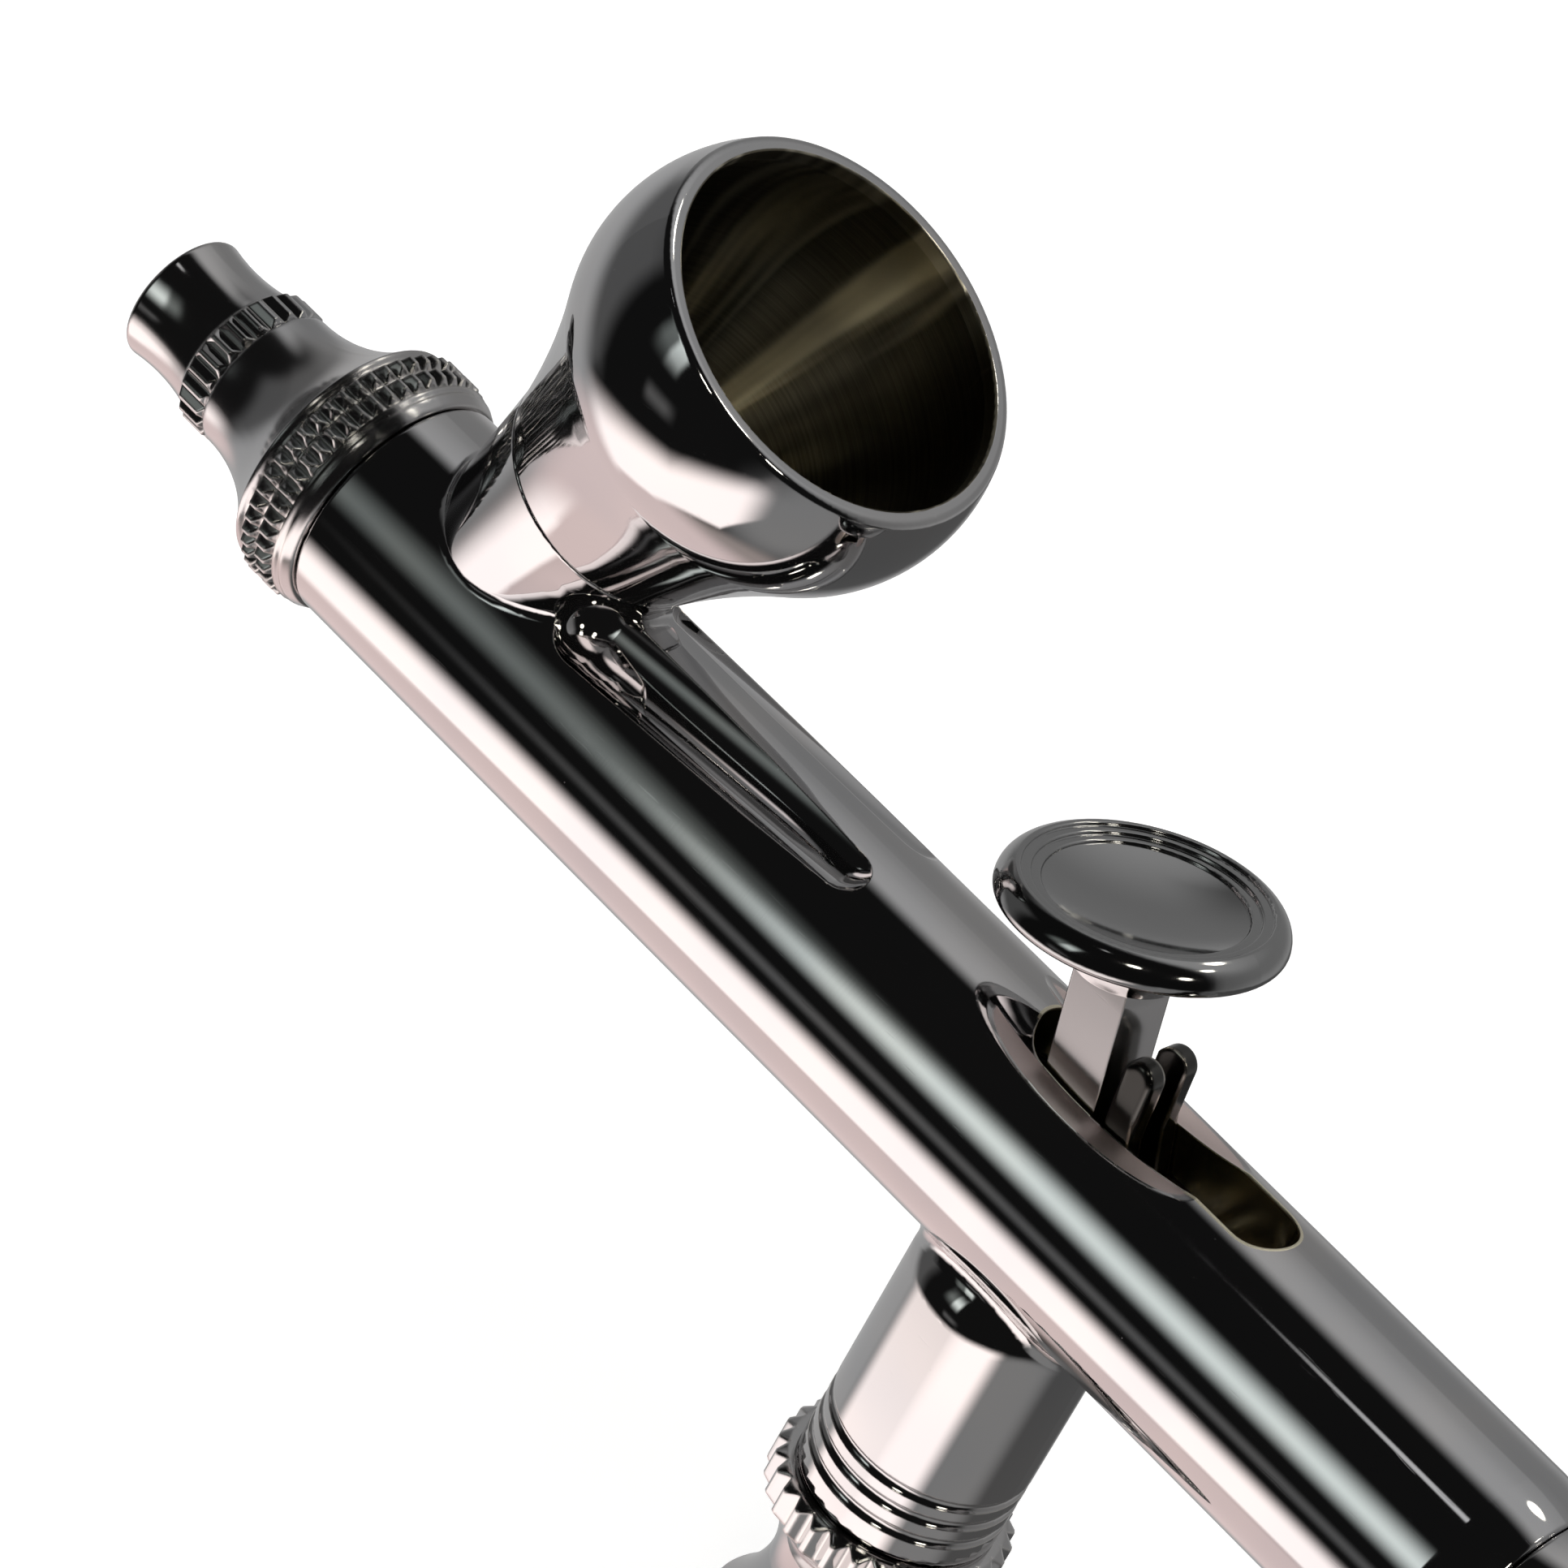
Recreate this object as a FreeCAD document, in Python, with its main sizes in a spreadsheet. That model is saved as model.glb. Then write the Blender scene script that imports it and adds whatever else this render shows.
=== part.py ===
import FreeCAD, Part

import math
import os
import re

import Sketcher
from FreeCAD import Placement, Rotation, Vector

# Dual-action, gravity-feed airbrush. Millimetres. The barrel lies along X with the nose at -X, the
# paint cup and the trigger are on top (+Z), and the origin is where the air valve's axis meets the
# barrel's axis. "Along" runs down a turned piece's axis and "radius" is measured from it.

DIMENSIONS = {
    # fits
    "running_gap": 0.05,
    "seat_gap": 0.02,
    "edge_round": 0.25,
    "fine_round": 0.12,
    # barrel
    "barrel_radius": 6.0,
    "barrel_front": -46.6,
    "barrel_rear": 27.2,
    "barrel_shoulder": 24.6,
    "barrel_end_arc": 9.83,
    "barrel_end_radius": 5.65,
    "nose_face": -50.3,
    "nose_thread_radius": 4.7,
    "tail_relief_radius": 4.6,
    "tail_relief_end": 28.1,
    "tail_thread_radius": 5.0,
    "tail_thread_end": 33.2,
    # bores along the barrel
    "seal_recess_radius": 2.2,
    "seal_recess_end": -49.9,
    "nozzle_thread_radius": 1.55,
    "nozzle_thread_end": -46.9,
    "paint_bore_radius": 1.5,
    "packing_bore_start": -33.5,
    "packing_bore_radius": 2.0,
    "tunnel_start": -26.0,
    "tunnel_radius": 2.4,
    "lever_cavity_start": -8.0,
    "lever_cavity_radius": 3.3,
    "rear_bore_start": 12.5,
    "rear_bore_radius": 4.3,
    "tool_overrun": 1.0,
    # valve boss under the barrel, and the bores in it
    "boss_radius": 5.0,
    "boss_end": -19.4,
    "boss_shoulder": -6.8,
    "boss_crown_arc": 2.6,
    "boss_crown": -4.2,
    "boss_crown_radius": 2.4,
    "boss_junction_round": 0.8,
    "boss_groove_half_width": 0.3,
    "boss_groove_arc": 0.34,
    "boss_groove_first": -15.5,
    "boss_groove_second": -16.65,
    "boss_groove_third": -17.85,
    "well_top": -1.0,
    "well_radius": 2.6,
    "well_floor": -8.0,
    "piston_hole_radius": 1.56,
    "gland_top": -9.4,
    "gland_radius": 2.8,
    "casing_thread_top": -10.9,
    "casing_thread_radius": 3.6,
    "air_groove_top": -12.9,
    "air_groove_bottom": -13.9,
    "air_groove_radius": 4.2,
    # air passage from the valve to the nose
    "air_riser_offset": -4.25,
    "air_riser_radius": 0.45,
    "air_passage_radius": 0.55,
    "air_passage_rear_height": -4.4,
    "air_passage_nose_height": -3.0,
    # cup collar on the barrel: its axis leans towards the tail
    "cup_axis_foot": -40.79,
    "cup_lean_degrees": 23.66,
    "collar_foot": 2.0,
    "collar_foot_radius": 4.35,
    "collar_top": 10.96,
    "collar_top_radius": 6.04,
    "collar_junction_round": 0.5,
    "collar_socket_floor": 7.4,
    "collar_socket_radius": 3.95,
    "drain_radius": 1.6,
    # paint cup
    "cup_stub_bottom": 7.45,
    "cup_stub_radius": 3.9,
    "cup_foot": 10.98,
    "cup_foot_radius": 6.04,
    "cup_bowl_start": 19.0,
    "cup_bowl_start_radius": 9.27,
    "cup_neck_arc": 40.0,
    "cup_bowl_arc": 8.15,
    "cup_rim": 26.7,
    "cup_rim_radius": 9.42,
    "cup_rim_round": 0.42,
    "cup_mouth_radius": 8.72,
    "cup_mouth_depth": 25.9,
    "cup_inner_low": 18.6,
    "cup_inner_low_radius": 8.35,
    "cup_inner_arc": 7.6,
    "cup_funnel_top": 12.6,
    "cup_funnel_top_radius": 5.1,
    "cup_funnel_bottom": 9.6,
    # finger scallops beside the trigger, ground with a round-edged wheel
    "scallop_middle": -0.6,
    "scallop_wheel_radius": 22.6,
    "scallop_edge_radius": 3.0,
    "scallop_depth": 0.85,
    "scallop_angle_degrees": 19.0,
    # long flutes behind the cup
    "flute_radius": 2.1,
    "flute_front": -32.4,
    "flute_front_angle_degrees": 28.5,
    "flute_front_depth": 1.45,
    "flute_rear": -16.2,
    "flute_rear_angle_degrees": 24.0,
    "flute_rear_depth": 0.45,
    # trigger slot
    "slot_front": -5.3,
    "slot_rear": 10.05,
    "slot_half_width": 1.9,
    "slot_height": 8.0,
    # nozzle, its seal, and the needle
    "nozzle_tip": -59.65,
    "nozzle_tip_radius": 0.55,
    "nozzle_hole_radius": 0.25,
    "nozzle_hole_end": -59.1,
    "nozzle_bore_radius": 1.0,
    "nozzle_bore_start": -53.0,
    "nozzle_shoulder": -51.6,
    "nozzle_cone_radius": 1.55,
    "nozzle_flange_radius": 2.3,
    "nozzle_spigot_radius": 1.5,
    "nozzle_spigot_end": -47.0,
    "nozzle_seal_radius": 2.15,
    "needle_tip": -60.5,
    "needle_tip_radius": 0.1,
    "needle_taper_end": -54.0,
    "needle_radius": 0.6,
    "needle_tail": 72.0,
    # nozzle cap
    "air_cap_face": -59.4,
    "air_cap_hole_radius": 0.85,
    "air_cap_hole_end": -58.3,
    "air_cap_cone_radius": 1.1,
    "air_chamber_rear": -50.4,
    "air_chamber_radius": 3.8,
    "nozzle_cap_spigot_radius": 2.6,
    "nozzle_cap_shoulder": -56.0,
    "nozzle_cap_shoulder_radius": 3.83,
    "bell_end": -50.3,
    "bell_end_radius": 6.42,
    "bell_arc": 7.45,
    "nozzle_knurl_front": -49.95,
    "nozzle_knurl_front_top": -49.65,
    "nozzle_knurl_radius": 6.65,
    "nozzle_knurl_root_radius": 6.12,
    "nozzle_knurl_middle": -48.92,
    "nozzle_knurl_middle_front": -49.2,
    "nozzle_knurl_middle_rear": -48.64,
    "nozzle_knurl_rear_top": -48.05,
    "nozzle_knurl_rear": -47.75,
    "nozzle_band_front": -47.6,
    "nozzle_band_front_radius": 6.5,
    "nozzle_band_groove": -47.28,
    "nozzle_band_groove_radius": 6.28,
    "nozzle_band_step": -47.22,
    "nozzle_band_step_radius": 6.42,
    "nozzle_cap_rear": -46.65,
    "nozzle_cap_rear_radius": 6.12,
    # needle cap
    "needle_cap_front": -62.25,
    "needle_cap_front_radius": 3.45,
    "needle_cap_mouth_radius": 2.75,
    "needle_cap_throat": -61.35,
    "needle_cap_throat_radius": 2.2,
    "needle_cap_seat": -59.5,
    "needle_cap_waist_arc": 10.0,
    "needle_cap_flare": -58.15,
    "needle_cap_flare_radius": 3.5,
    "needle_knurl_front": -57.85,
    "needle_knurl_front_top": -57.6,
    "needle_knurl_radius": 3.9,
    "needle_knurl_root_radius": 3.55,
    "needle_knurl_rear_top": -56.3,
    "needle_cap_rear": -56.05,
    # knurls: tooth counts, and a notch's width as a share of the tooth pitch
    "notch_share": 0.84,
    "nozzle_knurl_teeth": 48,
    "needle_knurl_teeth": 26,
    "casing_knurl_teeth": 30,
    "chuck_knurl_teeth": 28,
    # needle packing and its screw
    "packing_radius": 1.95,
    "packing_rear": -31.5,
    "packing_hole_radius": 0.62,
    "packing_screw_front": -31.45,
    "packing_screw_rear": -27.4,
    "packing_screw_hole_radius": 0.9,
    "screw_slot_width": 0.8,
    "screw_slot_depth": 0.9,
    # trigger: the ball at its foot rocks in the piston
    "trigger_pivot_height": -5.2,
    "trigger_lean_degrees": -13.5,
    "trigger_ball_radius": 1.0,
    "trigger_neck_radius": 0.7,
    "trigger_shank_bottom": 2.2,
    "trigger_shank_half_depth": 1.2,
    "trigger_shank_half_width": 1.35,
    "trigger_stem_bottom": 5.1,
    "trigger_stem_offset": 0.555,
    "trigger_stem_half_depth": 1.5,
    "trigger_stem_half_width": 1.7,
    "trigger_stem_top": 17.0,
    "trigger_slot_bottom": 4.1,
    "trigger_slot_top": 8.9,
    "trigger_slot_half_width": 0.85,
    "pad_underside": 15.8,
    "pad_neck_radius": 2.35,
    "pad_skirt": 18.35,
    "pad_skirt_radius": 6.2,
    "pad_skirt_arc": 12.0,
    "pad_lip_arc": 0.5,
    "pad_radius": 6.62,
    "pad_edge": 18.9,
    "pad_edge_arc": 1.15,
    "pad_rim": 19.9,
    "pad_rim_radius": 5.85,
    "pad_step_one_radius": 5.6,
    "pad_step_one": 19.74,
    "pad_step_two_radius": 5.12,
    "pad_step_two": 19.58,
    "pad_step_three_radius": 4.64,
    "pad_step_three": 19.42,
    "pad_dish_arc": 14.0,
    "pad_dish_floor": 18.63,
    # auxiliary lever, drawn in the barrel's XZ plane
    "lever_pivot_along": 2.9,
    "lever_pivot_height": -2.9,
    "lever_foot_radius": 0.6,
    "lever_half_width": 1.75,
    "lever_foot_front": 2.35,
    "lever_foot_rear": 3.45,
    "lever_foot_shoulder": -2.65,
    "lever_belly_low_along": 0.62,
    "lever_belly_low": 1.2,
    "lever_belly_along": 0.45,
    "lever_belly": 2.0,
    "lever_front_along": 0.42,
    "lever_front": 2.8,
    "lever_ear_front_along": -0.2,
    "lever_ear": 7.9,
    "lever_ear_rear_along": 1.5,
    "lever_ear_arc": 0.87,
    "lever_ear_round": 0.3,
    "lever_back_along": 1.85,
    "lever_back": 5.0,
    "lever_push_along": 3.12,
    "lever_push_top": 1.6,
    "lever_push_low_along": 3.15,
    "lever_push_low": 1.0,
    "lever_heel_along": 2.6,
    "lever_heel": -0.8,
    "lever_notch_half_width": 0.75,
    "lever_notch_floor": -1.2,
    "lever_notch_top": 10.0,
    # needle guide, which carries the needle in its collet
    "guide_nose": 3.2,
    "guide_nose_radius": 2.0,
    "guide_flange_front": 4.6,
    "guide_flange_rear": 5.4,
    "guide_flange_radius": 2.75,
    "guide_stem_radius": 1.7,
    "guide_thread_start": 43.5,
    "guide_thread_radius": 1.5,
    "guide_end": 49.5,
    "guide_bore_radius": 0.62,
    "collet_slit_width": 0.35,
    "collet_slit_start": 44.5,
    # needle spring and its case
    "case_front": 13.2,
    "case_thread_radius": 4.25,
    "case_thread_end": 21.0,
    "case_tube_radius": 3.7,
    "case_bore_radius": 3.05,
    "case_floor": 37.4,
    "case_end": 39.2,
    "case_hole_radius": 1.77,
    "needle_spring_wire": 0.3,
    "needle_spring_radius": 2.35,
    "needle_spring_turns": 15,
    # chuck nut
    "chuck_front": 43.6,
    "chuck_bore_radius": 1.55,
    "chuck_floor": 49.6,
    "chuck_knurl_front": 45.6,
    "chuck_knurl_front_top": 45.85,
    "chuck_knurl_rear_top": 49.75,
    "chuck_knurl_rear": 50.0,
    "chuck_radius": 3.0,
    "chuck_collar_radius": 2.7,
    "chuck_knurl_root_radius": 2.7,
    "chuck_end": 51.4,
    "chuck_end_radius": 2.0,
    "chuck_hole_radius": 0.66,
    # handle
    "handle_front": 27.25,
    "handle_shoulder": 29.85,
    "handle_groove_front": 30.0,
    "handle_groove_middle": 30.35,
    "handle_groove_radius": 5.65,
    "handle_groove_rear": 30.7,
    "handle_taper_arc": 400.0,
    "handle_waist": 85.0,
    "handle_waist_radius": 2.3,
    "handle_waist_arc": 3.0,
    "handle_ball_start": 87.3,
    "handle_ball_start_radius": 2.95,
    "handle_ball_arc": 3.3,
    "handle_tip": 92.3,
    "handle_tip_radius": 1.0,
    "handle_thread_radius": 5.05,
    "handle_thread_end": 33.6,
    "handle_cavity_radius": 4.55,
    "handle_cavity_end": 41.0,
    "handle_chamber_radius": 3.6,
    "handle_chamber_end": 57.0,
    "handle_bore_start": 60.0,
    "handle_bore_radius": 1.2,
    "handle_bore_end": 78.0,
    # valve casing with the hose thread, a parallel one-eighth inch pipe thread
    "casing_knurl_top": -19.45,
    "casing_knurl_top_flat": -19.75,
    "casing_knurl_radius": 5.87,
    "casing_knurl_root_radius": 5.38,
    "casing_knurl_bottom_flat": -21.2,
    "casing_knurl_bottom": -21.5,
    "casing_waist": -25.7,
    "casing_waist_radius": 3.7,
    "casing_waist_arc": 6.4,
    "casing_shoulder": -29.6,
    "casing_shoulder_radius": 5.2,
    "casing_seat": -30.6,
    "hose_thread_radius": 4.864,
    "hose_thread_end": -38.6,
    "hose_thread_chamfer_radius": 4.25,
    "hose_thread_chamfer": -38.1,
    "casing_roof": -12.1,
    "casing_chamber_radius": 2.3,
    "valve_seat_top": -16.6,
    "valve_seat_bottom": -17.8,
    "valve_seat_radius": 1.2,
    "casing_bore_radius": 2.2,
    "casing_seal_top": -18.1,
    "casing_seal_bottom": -19.1,
    "casing_seal_groove_radius": 2.9,
    "casing_seal_radius": 3.27,
    "casing_seal_section": 0.35,
    "casing_port_radius": 0.5,
    "casing_port_height": -13.4,
    # piston, its packing, and the plunger below it
    "piston_radius": 1.5,
    "piston_socket_radius": 1.05,
    "piston_socket_floor": -6.25,
    "piston_shoulder": -12.5,
    "piston_tail_radius": 0.9,
    "piston_end": -15.6,
    "piston_packing_height": -10.02,
    "piston_packing_radius": 2.12,
    "piston_packing_section": 0.58,
    "plunger_stem_radius": 0.8,
    "plunger_head_top": -17.85,
    "plunger_seal_bottom": -18.45,
    "plunger_seal_inner_radius": 1.3,
    "plunger_seal_radius": 1.8,
    "plunger_head_bottom": -19.4,
    "plunger_head_radius": 1.95,
    "plunger_end": -24.0,
    # valve spring and the screw that holds it
    "valve_spring_wire": 0.22,
    "valve_spring_radius": 1.45,
    "valve_spring_turns": 7,
    "guide_screw_top": -27.0,
    "guide_screw_bottom": -30.0,
    "guide_screw_radius": 2.15,
    "guide_screw_hole_radius": 0.95,
}

TERM = re.compile(r"([+-]?)\s*([a-z]\w*)")
AXIS = ""

doc = FreeCAD.newDocument("airbrush")
sheet = doc.addObject("Spreadsheet::Sheet", "Dims")
for row, (alias, number) in enumerate(DIMENSIONS.items(), start=1):
    sheet.set(f"A{row}", alias)
    sheet.set(f"B{row}", str(number))
    sheet.setAlias(f"B{row}", alias)
doc.recompute()


def size(total):
    """The number that a sum of named dimensions comes to; an empty sum is the axis itself."""
    amount = 0.0
    for sign, name in TERM.findall(total):
        amount += -sheet.get(name) if sign == "-" else sheet.get(name)
    return amount


def cell(total):
    """The same sum as an expression on the sheet's cells."""
    return TERM.sub(lambda term: f"{term[1]}Dims.{term[2]}", total)


def origin_feature(body, role):
    """The origin plane or axis of a body that plays this role."""
    return next(item for item in body.Origin.OriginFeatures if item.Role == role)


def new_body(name):
    body = doc.addObject("PartDesign::Body", name)
    body.Label = name
    return body


def new_sketch(body, name, plane):
    sketch = body.newObject("Sketcher::SketchObject", name)
    sketch.AttachmentSupport = [(origin_feature(body, plane), "")]
    sketch.MapMode = "FlatFace"
    return sketch


def hold(sketch, kind, geometry, point, total):
    """Ties one coordinate of a sketched point to a sum of cells."""
    if total == AXIS:
        line = -1 if kind == "DistanceY" else -2
        sketch.addConstraint(Sketcher.Constraint("PointOnObject", geometry, point, line))
        return
    index = sketch.addConstraint(Sketcher.Constraint(kind, geometry, point, size(total)))
    sketch.setExpression(f"Constraints[{index}]", cell(total))


def outline(sketch, corners):
    """Draws a closed outline through corners (x, y) given as sums of dimensions.

    A corner's third item, if any, bends the side that leaves it: (arc radius, "left" or "right"),
    naming the side of the path on which the arc's centre lies.
    """
    points = [Vector(size(corner[0]), size(corner[1]), 0) for corner in corners]
    sides = []
    for index, corner in enumerate(corners):
        start, end = points[index], points[(index + 1) % len(points)]
        if len(corner) == 2 or corner[2] is None:
            geometry = sketch.addGeometry(Part.LineSegment(start, end))
            sides.append((geometry, 1, 2))
            continue
        radius, turn = corner[2]
        chord = end - start
        across = Vector(-chord.y, chord.x, 0).normalize()
        reach = math.sqrt(size(radius) ** 2 - (chord.Length / 2) ** 2)
        centre = (start + end) * 0.5 + across * (reach if turn == "left" else -reach)
        ends = (start, end) if turn == "left" else (end, start)
        angles = [math.atan2(point.y - centre.y, point.x - centre.x) for point in ends]
        circle = Part.Circle(centre, Vector(0, 0, 1), size(radius))
        geometry = sketch.addGeometry(Part.ArcOfCircle(circle, *angles))
        sides.append((geometry, 1, 2) if turn == "left" else (geometry, 2, 1))
    for index, (geometry, first, last) in enumerate(sides):
        following = sides[(index + 1) % len(sides)]
        sketch.addConstraint(
            Sketcher.Constraint("Coincident", geometry, last, following[0], following[1])
        )
    for corner, (geometry, first, last) in zip(corners, sides):
        hold(sketch, "DistanceX", geometry, first, corner[0])
        hold(sketch, "DistanceY", geometry, first, corner[1])
        if len(corner) > 2 and corner[2] is not None:
            radius = corner[2][0]
            index = sketch.addConstraint(Sketcher.Constraint("Radius", geometry, size(radius)))
            sketch.setExpression(f"Constraints[{index}]", cell(radius))


def turned(name, axis, profile):
    """A piece turned on a lathe about X or Z.

    Each profile entry is (along, radius), then the bend of the side that leaves it, or None, then
    the rounding of that corner's edge.
    """
    body = new_body(name)
    sketch = new_sketch(body, name + "_profile", "XZ_Plane")
    if axis == "X":
        outline(sketch, [entry[:3] for entry in profile])
    else:
        outline(sketch, [(entry[1], entry[0]) + tuple(entry[2:3]) for entry in profile])
    turn = body.newObject("PartDesign::Revolution", name + "_turned")
    turn.Profile = sketch
    turn.ReferenceAxis = (sketch, ["H_Axis" if axis == "X" else "V_Axis"])
    turn.Angle = 360
    doc.recompute()
    rounds = {}
    for entry in profile:
        if len(entry) > 3:
            rounds.setdefault(entry[3], []).append((size(entry[0]), size(entry[1])))
    for number, (radius, corners) in enumerate(rounds.items()):
        feature = body.Tip
        edges = [ring_edge(feature.Shape, axis, along, radius_) for along, radius_ in corners]
        fillet = body.newObject("PartDesign::Fillet", f"{name}_round_{number}")
        fillet.Base = (feature, edges)
        fillet.setExpression("Radius", cell(radius))
        doc.recompute()
    return body


def ring_edge(shape, axis, along, radius):
    """The name of the circular edge of this radius at this place on the axis."""
    for number, edge in enumerate(shape.Edges, start=1):
        if not isinstance(edge.Curve, Part.Circle):
            continue
        place = edge.Curve.Center.x if axis == "X" else edge.Curve.Center.z
        if abs(place - along) < 1e-4 and abs(edge.Curve.Radius - radius) < 1e-4:
            return f"Edge{number}"
    raise RuntimeError(f"no ring edge at {along}, radius {radius}")


def bound(kind, name, placement=None, **sizes):
    """A Part primitive whose properties are tied to sums of cells."""
    piece = doc.addObject(kind, name)
    for prop, total in sizes.items():
        piece.setExpression(prop, cell(total))
    if placement is not None:
        piece.Placement = placement
    return piece


def fuse(name, pieces):
    joined = doc.addObject("Part::MultiFuse", name)
    joined.Shapes = pieces
    return joined


def cut(name, base, tool):
    result = doc.addObject("Part::Cut", name)
    result.Base = base
    result.Tool = tool
    return result


def rounded_junction(name, base, radius, on_edge):
    """Rounds the edges of base along which every sampled point passes the test on_edge."""
    doc.recompute()
    chosen = []
    for number, edge in enumerate(base.Shape.Edges, start=1):
        samples = edge.discretize(7)
        if all(on_edge(point) for point in samples):
            chosen.append((number, size(radius), size(radius)))
    if not chosen:
        raise RuntimeError(f"{name}: no edge to round")
    fillet = doc.addObject("Part::Fillet", name)
    fillet.Base = base
    fillet.Edges = chosen
    doc.recompute()
    return fillet


def knurl(body, axis, front, rear, tip, root, teeth):
    """Cuts a straight knurl: V notches between front and rear, repeated round the axis."""
    plane = "YZ_Plane" if axis == "X" else "XY_Plane"
    sketch = new_sketch(body, body.Name + "_notch", plane)
    sketch.AttachmentOffset = Placement(Vector(0, 0, size(front)), Rotation())
    half = math.pi * size(tip) / size(teeth) * size("notch_share")
    corners = [Vector(size(root), 0, 0), Vector(size(tip), half, 0), Vector(size(tip), -half, 0)]
    for start, end in zip(corners, corners[1:] + corners[:1]):
        sketch.addGeometry(Part.LineSegment(start, end))
    for side in range(3):
        sketch.addConstraint(Sketcher.Constraint("Coincident", side, 2, (side + 1) % 3, 1))
    hold(sketch, "DistanceX", 0, 1, root)
    hold(sketch, "DistanceY", 0, 1, AXIS)
    hold(sketch, "DistanceX", 1, 1, tip)
    hold(sketch, "DistanceX", 2, 1, tip)
    for side, sign in ((1, ""), (2, "-")):
        index = sketch.addConstraint(
            Sketcher.Constraint("DistanceY", side, 1, half if side == 1 else -half)
        )
        sketch.setExpression(
            f"Constraints[{index}]", f"{sign}pi * {cell(tip)} / {cell(teeth)} * Dims.notch_share"
        )
    doc.recompute()
    before = body.Shape.Volume
    notch = body.newObject("PartDesign::Pocket", body.Name + "_notch_cut")
    notch.Profile = sketch
    notch.Type = "Length"
    notch.setExpression("Length", cell(f"{rear}-{front}"))
    notch.Reversed = True
    doc.recompute()
    pattern = body.newObject("PartDesign::PolarPattern", body.Name + "_knurl")
    pattern.Originals = [notch]
    pattern.Axis = (origin_feature(body, axis + "_Axis"), [""])
    pattern.Angle = 360
    pattern.setExpression("Occurrences", cell(teeth))
    body.Tip = pattern
    doc.recompute()
    if body.Shape.Volume > before - 1e-3:
        raise RuntimeError(f"{body.Label}: the knurl cut nothing")


def build_needle_cap():
    cap = turned("needle_cap", "X", [
        ("needle_cap_front", "needle_cap_mouth_radius"),
        ("needle_cap_front", "needle_cap_front_radius", ("needle_cap_waist_arc", "left"), "edge_round"),
        ("needle_cap_flare", "needle_cap_flare_radius"),
        ("needle_knurl_front", "needle_knurl_root_radius"),
        ("needle_knurl_front_top", "needle_knurl_radius"),
        ("needle_knurl_rear_top", "needle_knurl_radius"),
        ("needle_cap_rear", "needle_knurl_root_radius"),
        ("needle_cap_rear", "nozzle_cap_spigot_radius+running_gap"),
        ("needle_cap_seat", "nozzle_cap_spigot_radius+running_gap"),
        ("needle_cap_seat", "needle_cap_throat_radius"),
        ("needle_cap_throat", "needle_cap_throat_radius"),
    ])
    knurl(cap, "X", "needle_knurl_front", "needle_cap_rear", "needle_knurl_radius",
          "needle_knurl_root_radius", "needle_knurl_teeth")
    return cap


def build_nozzle_cap():
    cap = turned("nozzle_cap", "X", [
        ("air_cap_face", "air_cap_hole_radius"),
        ("air_cap_face", "nozzle_cap_spigot_radius", None, "fine_round"),
        ("nozzle_cap_shoulder", "nozzle_cap_spigot_radius"),
        ("nozzle_cap_shoulder", "nozzle_cap_shoulder_radius", ("bell_arc", "left"), "fine_round"),
        ("bell_end", "bell_end_radius", None, "fine_round"),
        ("nozzle_knurl_front", "nozzle_knurl_root_radius"),
        ("nozzle_knurl_front_top", "nozzle_knurl_radius"),
        ("nozzle_knurl_middle_front", "nozzle_knurl_radius"),
        ("nozzle_knurl_middle", "nozzle_knurl_root_radius"),
        ("nozzle_knurl_middle_rear", "nozzle_knurl_radius"),
        ("nozzle_knurl_rear_top", "nozzle_knurl_radius"),
        ("nozzle_knurl_rear", "nozzle_knurl_root_radius"),
        ("nozzle_band_front", "nozzle_band_front_radius"),
        ("nozzle_band_groove", "nozzle_band_groove_radius"),
        ("nozzle_band_step", "nozzle_band_step_radius"),
        ("nozzle_cap_rear", "nozzle_cap_rear_radius", None, "fine_round"),
        ("nozzle_cap_rear", "nose_thread_radius+running_gap"),
        ("air_chamber_rear", "nose_thread_radius+running_gap"),
        ("air_chamber_rear", "air_chamber_radius"),
        ("air_cap_hole_end", "air_cap_cone_radius"),
        ("air_cap_hole_end", "air_cap_hole_radius"),
    ])
    knurl(cap, "X", "nozzle_knurl_front", "nozzle_knurl_rear", "nozzle_knurl_radius",
          "nozzle_knurl_root_radius", "nozzle_knurl_teeth")
    return cap


def build_nozzle():
    return turned("nozzle", "X", [
        ("nozzle_tip", "nozzle_hole_radius"),
        ("nozzle_tip", "nozzle_tip_radius"),
        ("nozzle_shoulder", "nozzle_cone_radius"),
        ("nozzle_shoulder", "nozzle_flange_radius"),
        ("nose_face-seat_gap", "nozzle_flange_radius"),
        ("nose_face-seat_gap", "nozzle_spigot_radius"),
        ("nozzle_spigot_end", "nozzle_spigot_radius"),
        ("nozzle_spigot_end", "nozzle_bore_radius"),
        ("nozzle_bore_start", "nozzle_bore_radius"),
        ("nozzle_hole_end", "nozzle_hole_radius"),
    ])


def washer(name, axis, front, rear, inner, outer):
    """A plain ring between two places on an axis."""
    return turned(name, axis, [(front, inner), (front, outer), (rear, outer), (rear, inner)])


def build_needle():
    return turned("needle", "X", [
        ("needle_tip", AXIS),
        ("needle_tip", "needle_tip_radius"),
        ("needle_taper_end", "needle_radius"),
        ("needle_tail", "needle_radius", None, "fine_round"),
        ("needle_tail", AXIS),
    ])


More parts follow.
